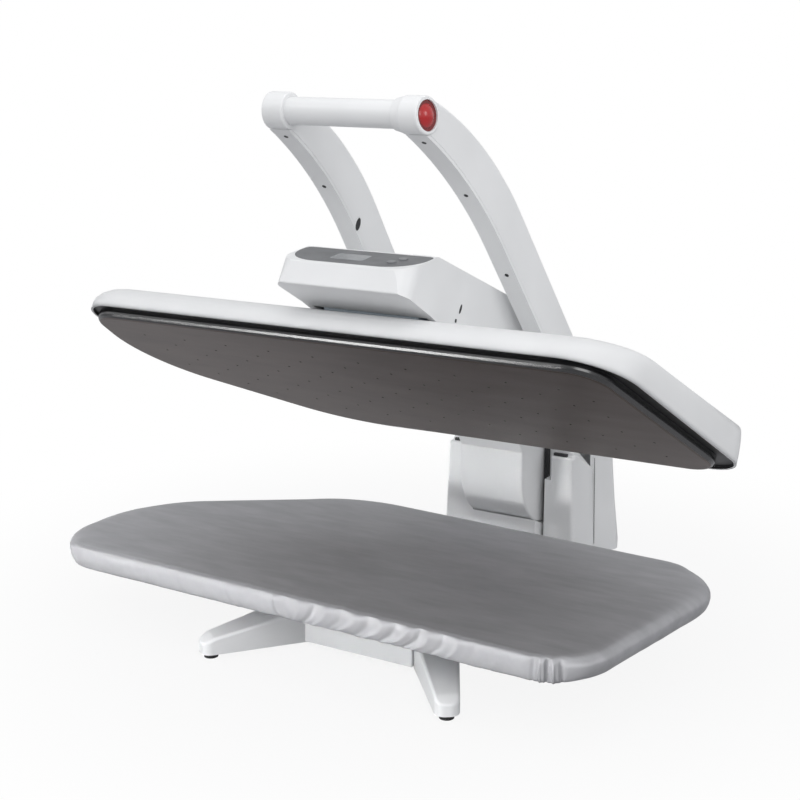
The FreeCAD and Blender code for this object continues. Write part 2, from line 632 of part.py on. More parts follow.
# Cord inlet in the rear cover: a flanged bush with its bore
INLET_RADIUS = 8.0
INLET_BORE = 4.0
INLET_HEIGHT = 42.0
INLET_OFFSET = 64.0


def make_inlet():
    share = (INLET_HEIGHT - val("rear_low")) / val("rear_high - rear_low")
    wall_rear = val("column_foot_rear") - share * val("rear_rake") + 3
    back = Vector(0, 1, 0)
    start = Vector(MID - INLET_OFFSET, wall_rear - 20, INLET_HEIGHT)
    body = cylinder(INLET_RADIUS, start, back, wall_rear - start.y)
    shaped("cord_inlet", body.cut(cylinder(INLET_BORE, start, back, wall_rear)))


# Head: platen with steam holes, heater, steam chamber, shield, rim and shell

SOLE = val("board_top + shut_gap")
PLATEN_TOP = SOLE + val("sole_thick")
SHELL_LOW = SOLE + val("skirt_lift")
SHELL_TOP = SHELL_LOW + val("skirt_height")
SHIELD_LOW = PLATEN_TOP + val("chamber_height + seat_gap")
MIDDLE = val("board_front + tail_left_depth / 2") - 12
HOSE = Vector(MID, MIDDLE + 45, 0)


def steam_holes():
    """Steam holes over the sole in staggered rows, as one tool."""
    inside = Part.Face(outline(SOLE_EDGE, -val("hole_margin"), 0))
    box = inside.BoundBox
    pitch_x, pitch_y = val("hole_pitch_x"), val("hole_pitch_y")
    tools = []
    for row in range(int(box.YLength / pitch_y) + 1):
        for step in range(int(box.XLength / pitch_x) + 1):
            spot = Vector(box.XMin + (step + 0.5 * (row % 2)) * pitch_x, box.YMin + row * pitch_y, SOLE)
            if inside.isInside(Vector(spot.x, spot.y, 0), 0.01, True):
                tools.append(cylinder(val("hole_radius"), spot, Z_AXIS, val("sole_thick")))
    return Part.makeCompound(tools)


def stud_spots():
    """Places of the studs that hang the platen from the shell."""
    return [Vector(MID + x, MIDDLE + y, PLATEN_TOP) for x in (-195, 35, 245) for y in (-38, 72)]


def make_platen():
    turn, lip = val("sole_round"), PLATEN_TOP + val("sole_lip")
    sections = [(-turn, SOLE), (-0.55 * turn, SOLE + 0.1 * turn), (-0.22 * turn, SOLE + 0.37 * turn),
                (-0.04 * turn, SOLE + 0.72 * turn), (0, SOLE + 1.1 * turn), (0, lip)]
    well = slab(SOLE_EDGE, -val("sole_lip_width"), PLATEN_TOP, lip)
    shaped("platen", layered(SOLE_EDGE, sections).cut(well).cut(steam_holes()), OPENED)
    radius, half = val("heater_radius"), val("heater_half")
    middle = MIDDLE
    lift = PLATEN_TOP + radius
    left, right = val("nose_left") + half + 90, val("front_right") - 60
    path = Part.Wire([
        Part.LineSegment(Vector(right, middle - half, lift), Vector(left, middle - half, lift)).toShape(),
        Part.Arc(Vector(left, middle - half, lift), Vector(left - half, middle, lift),
                 Vector(left, middle + half, lift)).toShape(),
        Part.LineSegment(Vector(left, middle + half, lift), Vector(right, middle + half, lift)).toShape()])
    ring = Part.Wire(Part.makeCircle(radius, Vector(right, middle - half, lift), X_AXIS))
    shaped("heating_element", path.makePipeShell([ring], True, False), OPENED)
    chamber = plan_prism([(MID - 110, middle - 40), (MID + 110, middle - 40), (MID + 110, middle + 40 + 20),
                          (MID - 110, middle + 40 + 20)], [12] * 4, PLATEN_TOP, PLATEN_TOP + val("chamber_height"))
    feed = cylinder(val("hose_bore"), Vector(HOSE.x, HOSE.y, PLATEN_TOP), Z_AXIS, 2 * val("chamber_height"))
    for spot in stud_spots():
        chamber = chamber.cut(cylinder(val("stud_radius + seat_gap"), spot, Z_AXIS, val("skirt_height")))
    shaped("steam_chamber", chamber.cut(feed), OPENED)
    shaped("thermostat", cylinder(12, Vector(MID + 170, middle, PLATEN_TOP), Z_AXIS, 9), OPENED)
    shaped("thermal_fuse", cylinder(3, Vector(MID + 200, middle, PLATEN_TOP + 3), X_AXIS, 24), OPENED)


# How the shell's wall turns over into its crown: share of the way to the crown, and of the height
SHELL_ROLL = [(0, 0), (0, 0.2), (0.03, 0.36), (0.134, 0.55), (0.293, 0.73), (0.5, 0.87), (0.741, 0.965), (1, 1)]


def shell_form(grow, height):
    """Head shell as a solid: a steep wall at the right, a long roll at the front and a flat crown."""
    return Part.makeLoft([outline(between(SKIRT_EDGE, CROWN_EDGE, share), grow, SHELL_LOW + rise * height)
                          for share, rise in SHELL_ROLL], True, True)


def make_shell():
    wall = val("shell_wall")
    height = SHELL_TOP - SHELL_LOW
    outer, inner = shell_form(0, height), shell_form(-wall, height - wall)
    hose = cylinder(val("hose_radius + seat_gap"), HOSE + Vector(0, 0, SOLE), Z_AXIS, 3 * height)
    shaped("head_shell", outer.cut(inner).cut(hose), OPENED)
    rim_low = PLATEN_TOP + val("sole_lip + seat_gap")
    rim = slab(SKIRT_EDGE, -wall - val("seat_gap"), rim_low, rim_low + val("rim_thick"))
    shaped("platen_rim", rim.cut(slab(SOLE_EDGE, -val("rim_lap"), rim_low, rim_low + val("rim_thick"))), OPENED)
    shield = slab(SOLE_EDGE, -val("rim_lap") - val("rim_thick"), SHIELD_LOW, SHIELD_LOW + val("shield_thick")).cut(hose)
    studs = []
    for spot in stud_spots():
        shield = shield.cut(cylinder(val("stud_radius + seat_gap"), spot, Z_AXIS, height))
        studs.append(cylinder(val("stud_radius"), spot, Z_AXIS, SHELL_TOP - wall - PLATEN_TOP - val("seat_gap")))
    shaped("heat_shield", shield, OPENED)
    shaped("platen_studs", Part.makeCompound(studs), OPENED)


# Neck: steel frame from the head to the hinge, its bushes and springs, and the cover around them

def turned_shut(ahead, above):
    """Point of the shut head that lies so far from the hinge when the head is open."""
    angle = math.radians(val("open_angle"))
    return (HINGE.y + ahead * math.cos(angle) - above * math.sin(angle),
            HINGE.z + ahead * math.sin(angle) + above * math.cos(angle))


def neck_profile():
    """Neck cover from the side with the head shut, anticlockwise seen from +X."""
    front, drop, back = val("neck_front"), val("neck_drop"), val("neck_back")
    rear = val("hood_rear") + 2
    rest = SHELL_TOP + 3
    brow = HOOD_PEAK_Z - 22
    past = val("board_front + tail_left_depth - sole_back + skirt_back") + 6
    return [(rear, rest), (past, rest), turned_shut(-front, val("neck_crease")), turned_shut(-front, -drop),
            turned_shut(0.1 * front, -drop),
            turned_shut(back, -0.3 * drop), turned_shut(back, 0.22 * drop), (HINGE.y - 30, HINGE.z + 50),
            (val("pivot_y") - 20, val("pivot_z") + 33), (rear, brow)]


def make_neck():
    pivot = Vector(0, val("pivot_y"), val("pivot_z"))
    half, sheet_thick = val("neck_half - shell_wall"), val("frame_sheet")
    plate = val("plate_thick") * 0.7
    rest = SHELL_TOP + val("seat_gap")
    front, rear = HOSE.y - 32, 0
    step = val("hood_rear") - 1
    wall = [(front, rest), (step, rest), (step + 12, rest + 9), (0.45 * HINGE.y, rest + 9),
            (HINGE.y - 8, HINGE.z - 24), (HINGE.y + 22, HINGE.z - 14),
            (HINGE.y + 22, HINGE.z + 14), (HINGE.y - 8, HINGE.z + 26), (pivot.y + 16, pivot.z + 14),
            (pivot.y - 50, pivot.z + 14), (front, rest + 24)]
    walls = side_prism(wall, [0, 0, 0, 12, 18, 10, 10, 18, 14, 20, 6], half)
    gap = Part.makeBox(2 * (half - sheet_thick), 1000, 1000, Vector(MID - half + sheet_thick, -500, rest + plate))
    below = Part.makeBox(2 * (half - sheet_thick), 500, 500, Vector(MID - half + sheet_thick, rear, rest - 300))
    frame = walls.cut(gap).cut(below)
    through = Vector(-200 + MID, 0, 0)
    for centre, radius in ((HINGE, val("axle_radius + bush_wall")), (pivot, val("pivot_radius + run_gap"))):
        frame = frame.cut(cylinder(radius + val("fit_gap") * (centre is HINGE), centre + through, X_AXIS, 400))
    hose = cylinder(val("hose_radius + seat_gap"), HOSE + Vector(0, 0, SOLE), Z_AXIS, 200)
    shaped("neck_frame", frame.cut(hose), OPENED)
    bushes, springs = [], []
    for side in (-1, 1):
        low = MID + min(side * half, side * (half - sheet_thick))
        start = Vector(low, HINGE.y, HINGE.z)
        bush = cylinder(val("axle_radius + bush_wall"), start, X_AXIS, sheet_thick)
        bushes.append(bush.cut(cylinder(val("axle_radius + run_gap"), start, X_AXIS, sheet_thick)))
        start = Vector(MID + min(side * 4, side * (half - sheet_thick - 2)), HINGE.y, HINGE.z)
        length = half - sheet_thick - 6
        spring = cylinder(val("axle_radius + seat_gap + spring_wall"), start, X_AXIS, length)
        springs.append(spring.cut(cylinder(val("axle_radius + seat_gap"), start, X_AXIS, length)))
    shaped("hinge_bushes", Part.makeCompound(bushes), OPENED)
    shaped("lift_springs", Part.makeCompound(springs))
    profile = neck_profile()
    rounds = [0, 8, 6, val("neck_front") * 0.95, 12, 16, 16, 16, 20, 0]
    wall = val("shell_wall")
    outer = side_prism(profile, rounds, val("neck_half"))
    edges = [e for e in outer.Edges if e.BoundBox.XLength < 0.1 and e.BoundBox.YMin > val("hood_rear") + 5
             and e.BoundBox.ZMin > 20 and e.BoundBox.YMax < HINGE.y + 200]
    outer = outer.makeFillet(wall, edges)
    inner = side_prism(profile, rounds, val("neck_half") - wall, -wall)
    nose = Part.makeBox(2 * (val("neck_half") - wall), 20, HOOD_PEAK_Z - SHELL_TOP - 32,
                        Vector(MID - val("neck_half") + wall, val("hood_rear") - 5, SHELL_TOP + 3))
    cover = outer.cut(inner).cut(nose)
    cover = cover.cut(cylinder(val("axle_radius + bush_wall"), HINGE + through, X_AXIS, 400))
    shaped("neck_cover", cover.cut(cylinder(val("pivot_radius + 2"), pivot + through, X_AXIS, 400)), OPENED)


# Control hood with panel, display, keys, circuit board, tank, pump and hose

HOOD_LOW = SHELL_TOP + 3
FACE_TOP = HOOD_LOW + val("hood_face")
PANEL_TOP = FACE_TOP + val("panel_rise")
HOOD_PEAK_Z = PANEL_TOP + val("hood_peak_rise")
PANEL_TILT = math.degrees(math.atan2(val("panel_rise"), val("panel_run")))
PANEL = Placement(Vector(MID, val("hood_front + panel_run / 2"), FACE_TOP + val("panel_rise / 2")),
                  Rotation(X_AXIS, PANEL_TILT))
KEY_SPOTS = {"panel_key_front": (51.0, -8.0), "panel_key_rear": (57.0, 9.0)}
WINDOW_SPOT = Vector(-9, 0, 0)


# Slot in the hood's right side, with a small hole under it
SIGHT = Vector(0, val("hood_front") + 143.5, HOOD_LOW + 37.5)


def hood_form(grow):
    """Solid hood: its side profile crossed with its tapered plan."""
    front, rear = val("hood_front"), val("hood_rear")
    brow = front + val("panel_run")
    lip = HOOD_LOW - val("lip_drop")
    side = [(front + val("lip_run"), HOOD_LOW), (rear, HOOD_LOW), (rear, HOOD_PEAK_Z - 18), (val("hood_peak_y"), HOOD_PEAK_Z),
            (brow, PANEL_TOP), (front, FACE_TOP), (front + 5, lip)]
    half, back = val("hood_half"), val("hood_rear_half")
    along = side_prism(side, [0, 0, 8, 30, 10, 3, 2.5], half + 10, grow)
    plan = [(MID - half, front - 10), (MID + half, front - 10), (MID + back, rear), (MID - back, rear)]
    shifted = [(x, y + 10 * (y < brow)) for x, y in plan]
    rounding = val("hood_round")
    return along.common(plan_prism(shifted, [rounding, rounding, 0, 0], HOOD_LOW - 20, HOOD_PEAK_Z + 20, grow))


def lens(length, width, low, high):
    """Long plate on the panel's own plane, its lower corners rounded far more than the upper ones."""
    x, y = length / 2, width / 2
    rounds = [0.74 * width, 0.74 * width, 0.13 * width, 0.13 * width]
    return on_panel(plan_prism([(-x, -y), (x, -y), (x, y), (-x, y)], rounds, low, high))


def on_panel(shape):
    """Put a shape drawn on the panel's plane in its place."""
    shape.Placement = PANEL.multiply(shape.Placement)
    return shape


def key_hole(spot, low, high, radius):
    """Round piece of the panel at a key's spot."""
    return on_panel(cylinder(radius, Vector(spot[0], spot[1], low), Z_AXIS, high - low))


def make_hood():
    wall, thick = val("hood_wall"), val("panel_thick")
    outer = hood_form(0)
    inner = hood_form(-wall)
    belly = Part.makeBox(2 * (val("hood_rear_half") - wall), val("hood_rear - hood_front - lip_run") - 20, 40,
                         Vector(MID - val("hood_rear_half") + wall, val("hood_front + lip_run") + 10, HOOD_LOW - 20))
    tunnel = Part.makeBox(2 * val("neck_half - shell_wall + seat_gap"), 40, 70,
                          Vector(MID - val("neck_half - shell_wall + seat_gap"), val("hood_rear") - 20, HOOD_LOW - 10))
    hood = outer.cut(inner).cut(belly).cut(tunnel)
    gap = val("seat_gap")
    hood = hood.cut(lens(val("panel_length") + 2 * gap, val("panel_width") + 2 * gap, -thick, 20))
    for spot in KEY_SPOTS.values():
        hood = hood.cut(key_hole(spot, -20, 20, val("key_radius") + gap))
    depth = val("board_depth")
    for x in (-50, 70):
        hood = hood.fuse(key_hole((x, 0), -depth, -wall + 0.5, 3.0))
    hood = hood.cut(cylinder(FILLER_RADIUS + 1, FILLER - FILLER_AXIS * 60, FILLER_AXIS, 90))
    side = MID + val("hood_rear_half") - 3 * wall
    hood = hood.cut(cylinder(1.8, Vector(side, SIGHT.y - 4, SIGHT.z - 17), X_AXIS, 8 * wall))
    hood = hood.cut(Part.makeBox(8 * wall, 3.6, 11, Vector(side, SIGHT.y - 1.8, SIGHT.z - 5.5)))
    shaped("control_hood", hood, OPENED)
    face = lens(val("panel_length"), val("panel_width"), -thick, 0)
    x, y = val("window_length / 2"), val("window_width / 2")
    frame = [(-x, -y), (x, -y), (x, y), (-x, y)]
    sink = val("window_thick")
    window = plan_prism(frame, [4] * 4, -sink, 0)
    recess = plan_prism(frame, [4] * 4, -sink, 5, gap)
    for piece in (window, recess):
        piece.translate(WINDOW_SPOT)
        on_panel(piece)
    face = face.cut(recess)
    for spot in KEY_SPOTS.values():
        face = face.cut(key_hole(spot, -20, 20, val("key_radius") + gap))
    shaped("control_panel", face, OPENED)
    shaped("display_window", window, OPENED)
    sheet_thick = val("board_sheet")
    board = on_panel(Part.makeBox(150, 44, sheet_thick, Vector(-72, -22, -depth - sheet_thick)))
    rest = -thick - 4 - val("key_travel") - gap
    for name, spot in KEY_SPOTS.items():
        board = board.fuse(key_hole(spot, -depth - sheet_thick / 2, rest, 3.0))
        key = key_hole(spot, -thick - 4, 1.6, val("key_radius"))
        crown = [e for e in key.Edges if e.Length > 10 and PANEL.inverse().multVec(e.CenterOfMass).z > 1]
        shaped(name, key.makeFillet(1.0, crown), OPENED)
    shaped("circuit_board", board, OPENED)


# Water filler in the hood's top
TOP_TILT = math.atan2(val("hood_peak_rise"), val("hood_peak_y - hood_front - panel_run"))
FILLER_AXIS = Vector(0, -math.sin(TOP_TILT), math.cos(TOP_TILT))
FILLER_RADIUS = 10.5
FILLER_RUN = val("cap_back")
FILLER = Vector(MID + val("cap_side"), val("hood_front + panel_run") + FILLER_RUN * math.cos(TOP_TILT),
                PANEL_TOP + FILLER_RUN * math.sin(TOP_TILT))


def make_water():
    half, low = val("tank_half"), SHELL_TOP + val("seat_gap")
    rear = HOSE.y - 40
    front = val("hood_front + lip_run") + 13
    roof = val("hood_wall") + 16
    corners = [(front, low), (rear, low), (rear, PANEL_TOP), (front, PANEL_TOP - roof - 4)]
    wall = val("shell_wall")
    neck_low = FILLER - FILLER_AXIS * (roof + 24)
    neck = cylinder(FILLER_RADIUS, neck_low, FILLER_AXIS, roof + 24)
    tank = side_prism(corners, [8] * 4, half).fuse(neck)
    tank = tank.cut(side_prism(corners, [8] * 4, half - wall, -wall))
    shaped("water_tank", tank.cut(cylinder(FILLER_RADIUS - wall, neck_low, FILLER_AXIS, 60)), OPENED)
    radius, gap = val("cap_radius"), val("seat_gap")
    cap = cylinder(radius, FILLER + FILLER_AXIS * gap, FILLER_AXIS, 6)
    crown = [e for e in cap.Edges if e.Length > 50 and (e.CenterOfMass - FILLER).Length > 3]
    cap = cap.makeFillet(1.5, crown)
    ridge = Part.makeBox(2 * radius - 8, 6, 4, Vector(-radius + 4, -3, 0))
    ridge.Placement = Placement(FILLER + FILLER_AXIS * (gap + 5), Rotation(Z_AXIS, FILLER_AXIS))
    plug = cylinder(FILLER_RADIUS - 3.3, FILLER - FILLER_AXIS * 6, FILLER_AXIS, 8)
    shaped("filler_cap", cap.fuse(ridge).fuse(plug).removeSplitter(), OPENED)
    rest = SHELL_TOP + gap + val("plate_thick") * 0.7
    pump = Part.makeBox(52, 46, 28, Vector(MID - 26, HOSE.y - 23, rest))
    pump = pump.fuse(cylinder(15, Vector(MID - 24, HOSE.y, rest + 26), X_AXIS, 48))
    shaped("water_pump", pump, OPENED)
    start = Vector(HOSE.x, HOSE.y, PLATEN_TOP + val("chamber_height"))
    hose = cylinder(val("hose_radius"), start, Z_AXIS, rest - start.z)
    shaped("steam_hose", hose.cut(cylinder(val("hose_bore"), start, Z_AXIS, 100)), OPENED)


# Handle: two curved arms with screwed strips, shaft, grip tube, end cap, steam button and its switch

PIVOT = Vector(0, val("pivot_y"), val("pivot_z"))
GRIP = Vector(0, val("grip_y"), val("grip_z"))
SLOPE = math.radians(val("arm_slope"))
RUN = Vector(0, -math.cos(SLOPE), math.sin(SLOPE))
BEND = PIVOT + RUN * val("arm_straight")
CHORD = (GRIP - BEND).normalize()
TURN = CHORD.getAngle(RUN)
TIP_RUN = Rotation(X_AXIS, math.degrees(2 * TURN)).multVec(RUN)


# Keyhole in the left arm's inner face
KEYHOLE = Vector(0, val("grip_y") + 223, val("grip_z") - 40)


def above(run):
    """Normal of an arm's run, pointing to its upper side."""
    return Vector(0, run.z, -run.y)


def tangent_arc(start, run, finish):
    """Arc that leaves a point along a run and ends at another point."""
    chord = finish - start
    turn = chord.getAngle(run)
    crest = start + chord * 0.5 + above(chord / chord.Length) * (0.5 * chord.Length * math.tan(turn / 2))
    return Part.Arc(start, crest, finish).toShape()


def arm_band(upper, lower, upper_tip, lower_tip, thick, heeled):
    """Curved band along an arm's line, between two offsets from it, of a thickness about X = 0.
    Its rear end is bevelled about the pivot, or square and short of it."""
    up, tip_up = above(RUN), above(TIP_RUN)
    top_tip, low_tip = GRIP + tip_up * upper_tip, GRIP + tip_up * lower_tip
    top_bend, low_bend = BEND + up * upper, BEND + up * lower
    back = -0.4 * upper if heeled else 40
    heel = [low_bend, PIVOT + up * lower + RUN * back, PIVOT + up * upper + RUN * back, top_bend]
    if heeled:
        heel[2:2] = [PIVOT + up * 0.45 * lower - RUN * upper, PIVOT + up * 0.45 * upper - RUN * upper]
    edges = [Part.LineSegment(first, second).toShape() for first, second in zip(heel, heel[1:])]
    edges += [tangent_arc(top_bend, RUN, top_tip), Part.LineSegment(top_tip, low_tip).toShape(),
              tangent_arc(low_bend, RUN, low_tip)]
    band = Part.Face(Part.Wire(Part.sortEdges(edges)[0])).extrude(Vector(thick, 0, 0))
    band.translate(Vector(-thick / 2, 0, 0))
    return band


def splayed(shape, side):
    """Put a shape of an arm at its side, turned outwards about the grip."""
    shape.rotate(GRIP, Z_AXIS, -side * val("arm_splay"))
    shape.translate(Vector(MID + side * val("arm_out"), 0, 0))
    return shape


def screw_spots():
    """Places and upward normals of the three screws on an arm's strip."""
    spots = [(BEND - RUN * 48, above(RUN))]
    bow = (GRIP - BEND).Length / math.sin(TURN)
    for share in (0.42, 0.90):
        chord = Rotation(X_AXIS, math.degrees(share * TURN)).multVec(RUN)
        tangent = Rotation(X_AXIS, math.degrees(2 * share * TURN)).multVec(RUN)
        spots.append((BEND + chord * (bow * math.sin(share * TURN)), above(tangent)))
    return spots


def make_arms():
    half, tip, strip = val("arm_half"), val("arm_tip_half"), val("strip_thick")
    gap, thick = val("seat_gap"), val("arm_thick")
    pitch = val("boss_radius")
    screws = []
    for side, name in ((-1, "left"), (1, "right")):
        arm = arm_band(half, -half + strip + gap, tip, -tip + strip + gap, thick, True)
        edges = [e for e in arm.Edges if abs(e.CenterOfMass.x) > thick / 2 - 0.01 and e.Length > 2.5 * half
                 and arm_upper(e.CenterOfMass)]
        arm = splayed(arm.makeFillet(val("arm_round"), edges), side)
        inner = MID + side * (val("arm_out + arm_thick / 2") - val("boss_length"))
        outer = MID + side * val("arm_out + arm_thick / 2")
        end = Vector(outer, GRIP.y, GRIP.z)
        boss = cylinder(pitch, Vector(inner, GRIP.y, GRIP.z), X_AXIS * side, val("boss_length"))
        if side > 0:
            beyond = Part.makeBox(4 * pitch, 4 * pitch, 4 * pitch, Vector(-2 * pitch, -2 * pitch, 0))
            beyond.Placement = Placement(end, Rotation(Z_AXIS, BUTTON_AXIS))
            boss = cylinder(pitch, Vector(inner, GRIP.y, GRIP.z), X_AXIS, val("boss_length") + pitch).cut(beyond)
        rim = [e for e in boss.Edges if e.Length > 4 * pitch]
        arm = arm.fuse(boss.makeFillet(2.0, rim))
        if side > 0:
            flare = val("boss_flare")
            arm = arm.fuse(Part.makeCone(val("grip_radius + grip_wall"), pitch - 0.5, flare,
                                         Vector(inner - flare + 2, GRIP.y, GRIP.z), X_AXIS))
        band = splayed(arm_band(-half + strip, -half, -tip + strip, -tip, thick, False), side)
        low_x = min(inner, outer)
        clear = cylinder(pitch + gap, Vector(low_x - 5, GRIP.y, GRIP.z), X_AXIS, val("boss_length") + 10)
        shaft = cylinder(val("pivot_radius + fit_gap"), PIVOT + Vector(MID - 300, 0, 0), X_AXIS, 600)
        bore = cylinder(val("grip_radius + fit_gap"), Vector(MID - 200, GRIP.y, GRIP.z), X_AXIS, 400)
        reach = val("arm_out + arm_thick / 2")
        limit = Part.makeBox(2 * (reach - BUTTON_DEPTH), 200, 200,
                             Vector(MID - reach + BUTTON_DEPTH, GRIP.y - 100, GRIP.z - 100))
        axis = BUTTON_AXIS if side > 0 else X_AXIS * -1
        deep = SOCKET_DEPTH if side > 0 else BUTTON_DEPTH
        socket = cylinder(val("button_radius + seat_gap"), end - axis * deep, axis, 2 * deep)
        if side > 0:
            socket = socket.fuse(cylinder(STEM_RADIUS + gap, end - axis * 2 * deep, axis, 2 * deep))
        band = band.cut(clear).cut(shaft)
        for centre, normal in screw_spots():
            spot = centre - normal * half
            head = splayed(cylinder(val("screw_radius"), spot - normal * 6, normal, 40), side)
            screw = splayed(cylinder(val("screw_radius") - gap, spot - normal * 2, normal, 40), side)
            screws.append(screw.common(band))
            band = band.cut(head)
        arm = arm.cut(shaft).cut(bore.common(limit)).cut(socket)
        if side < 0:
            hook = Vector(MID - reach, KEYHOLE.y, KEYHOLE.z)
            slot = Part.makeBox(reach, 4.5, 11, hook + Vector(0, -2.25, 0))
            arm = arm.cut(cylinder(4.5, hook, X_AXIS, reach)).cut(slot)
        shaped(name + "_arm", arm, OPENED)
        shaped(name + "_arm_strip", band, OPENED)
    shaped("arm_screws", Part.makeCompound([s for screw in screws for s in screw.Solids]), OPENED)


def arm_upper(point):
    """True for a point on the arm's upper side."""
    if point.y < BEND.y:
        return (point - BEND).dot(above(CHORD)) > 0
    return (point - PIVOT).dot(above(RUN)) > -0.5 * val("arm_half")


# How far the button and the end cap sit inside the bosses, and the button's slanted axis
BUTTON_DEPTH = 19.0
SOCKET_DEPTH = 15.0
BUTTON_LENGTH = 11.0
STEM_RADIUS = 4.0
STEM_LENGTH = 9.0
BUTTON_AXIS = Rotation(Z_AXIS, -val("button_tilt")).multVec(X_AXIS)


def domed(side, length, sink, share):
    """Round cap in a boss's end with a dome on a share of its radius, side -1 left and 1 right."""
    radius, dome = val("button_radius"), val("button_dome")
    out = Vector(side, 0, 0)
    face = Vector(MID + side * val("arm_out + arm_thick / 2"), GRIP.y, GRIP.z) - out * sink
    disc = cylinder(radius, face - out * (length - sink), out, length - sink)
    crown = share * radius
    ball_radius = (crown * crown + dome * dome) / (2 * dome)
    ball = Part.makeSphere(ball_radius, face + out * (dome - ball_radius))
    return disc.fuse(ball.common(cylinder(crown, face, out, dome + 1))).removeSplitter()


def make_grip():
    reach = val("arm_out + arm_thick / 2")
    gap, travel = val("seat_gap"), val("button_travel")
    tube_half = reach - BUTTON_DEPTH
    outer = rod("grip_skin", "grip_radius", "2 * (arm_out + arm_thick / 2 - %s)" % BUTTON_DEPTH,
                "mech_x - arm_out - arm_thick / 2 + %s" % BUTTON_DEPTH, "grip_y", "grip_z")
    inner = rod("grip_hollow", "grip_radius - grip_wall", "2 * (arm_out + arm_thick / 2)",
                "mech_x - arm_out - arm_thick / 2", "grip_y", "grip_z")
    cut("grip_tube", outer, [inner], OPENED)
    shaped("grip_end_cap", domed(-1, BUTTON_DEPTH, 0, 1), OPENED)
    stem = cylinder(STEM_RADIUS, Vector(MID + reach - BUTTON_LENGTH, GRIP.y, GRIP.z), X_AXIS * -1, STEM_LENGTH)
    button = domed(1, BUTTON_LENGTH, val("button_sink"), 0.76).fuse(stem).removeSplitter()
    button.rotate(Vector(MID + reach, GRIP.y, GRIP.z), Z_AXIS, -val("button_tilt"))
    shaped("steam_button", button, OPENED)
    deep = BUTTON_LENGTH + STEM_LENGTH + travel + gap
    switch_end = MID + reach - deep * BUTTON_AXIS.x + STEM_RADIUS * BUTTON_AXIS.y
    width = 2 * math.sqrt(val("grip_radius - grip_wall - seat_gap") ** 2 - 36)
    switch = Part.makeBox(22, width, 12, Vector(switch_end - 22, GRIP.y - width / 2, GRIP.z - 6))
    shaped("steam_switch", switch, OPENED)
    shaft_half = val("arm_out + arm_thick") + 21
    shaft = cylinder(val("pivot_radius"), PIVOT + Vector(MID - shaft_half, 0, 0), X_AXIS, 2 * shaft_half)
    shaped("handle_shaft", shaft, OPENED)
    sleeves = []
    for side in (-1, 1):
        near, far = val("neck_half") + 1.5, val("arm_out - arm_thick / 2") + 26
        start = PIVOT + Vector(MID + min(side * near, side * far), 0, 0)
        sleeve = cylinder(val("pivot_radius") + 5, start, X_AXIS, far - near)
        sleeves.append(sleeve.cut(cylinder(val("pivot_radius + seat_gap"), start, X_AXIS, far - near)))
    shaped("shaft_sleeves", Part.makeCompound(sleeves), OPENED)


make_board()
make_supports()
make_base()
make_column()
make_inlet()
make_platen()
make_shell()
make_neck()
make_hood()
make_water()
make_arms()
make_grip()
doc.recompute()

for obj in doc.Objects:
    if "Invalid" in obj.State or "Error" in obj.State:
        raise RuntimeError("%s failed: %s" % (obj.Label, obj.State))
for obj in PARTS:
    if obj.Shape.isNull() or not obj.Shape.isValid() or not obj.Shape.Solids:
        raise RuntimeError("%s has no valid solid" % obj.Label)

os.makedirs("parts", exist_ok=True)
whole = FreeCAD.BoundBox()
for obj in PARTS:
    obj.Shape.exportStep("parts/%s.step" % obj.Label)
    whole.add(obj.Shape.BoundBox)
    print("%-18s solids %d volume %.1f cm3" % (obj.Label, len(obj.Shape.Solids), obj.Shape.Volume / 1000))
print("box X %.1f to %.1f, Y %.1f to %.1f, Z %.1f to %.1f" % (
    whole.XMin, whole.XMax, whole.YMin, whole.YMax, whole.ZMin, whole.ZMax))
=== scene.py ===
"""Looks of a tabletop steam ironing press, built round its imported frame."""
import json
import math

import bmesh
import bpy
import numpy as np
from mathutils import Matrix, Vector, noise
from mathutils.geometry import delaunay_2d_cdt


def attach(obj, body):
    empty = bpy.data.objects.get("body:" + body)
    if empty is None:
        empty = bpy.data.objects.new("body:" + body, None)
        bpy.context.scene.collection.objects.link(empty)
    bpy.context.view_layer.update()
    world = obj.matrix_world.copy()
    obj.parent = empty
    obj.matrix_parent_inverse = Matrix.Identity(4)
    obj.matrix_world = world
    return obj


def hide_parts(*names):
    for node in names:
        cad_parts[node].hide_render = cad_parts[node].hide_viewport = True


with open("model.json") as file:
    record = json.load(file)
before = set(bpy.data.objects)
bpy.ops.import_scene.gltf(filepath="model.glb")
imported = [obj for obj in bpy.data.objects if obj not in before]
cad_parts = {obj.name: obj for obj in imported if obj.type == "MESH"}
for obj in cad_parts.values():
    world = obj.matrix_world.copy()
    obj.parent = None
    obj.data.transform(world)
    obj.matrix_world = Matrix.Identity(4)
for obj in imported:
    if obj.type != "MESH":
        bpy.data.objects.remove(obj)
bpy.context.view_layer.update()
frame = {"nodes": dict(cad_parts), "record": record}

nodes = frame["nodes"]
scene = bpy.context.scene


def feed(tree, socket, value):
    """Give a node's input a plain value, or link it to another node's output."""
    if isinstance(value, bpy.types.NodeSocket):
        tree.links.new(value, socket)
    else:
        socket.default_value = value


def add_node(tree, kind, inputs=None, **settings):
    """New node in a tree, with its settings and what its inputs are fed."""
    node = tree.nodes.new(kind)
    for key, value in settings.items():
        setattr(node, key, value)
    for key, value in (inputs or {}).items():
        feed(tree, node.inputs[key], value)
    return node


# Camera, floor and light

# The camera as fitted to the photo
CAMERA_PLACE = (0.9065, -1.675, 0.771)
CAMERA_FORWARD = (-0.4841, 0.8386, -0.2498)
CAMERA_RIGHT = (0.866, 0.5, 0.0)
LENS_MM = 65.41
SENSOR_MM = 36.0
FAR = 60.0

PURE_WHITE = (1, 1, 1, 1)
SKY = (0.97, 0.98, 1.0, 1)
SKY_STRENGTH = 0.63
FLOOR_HALF = 14.0
FLOOR_GREY = (0.48, 0.48, 0.49, 1)
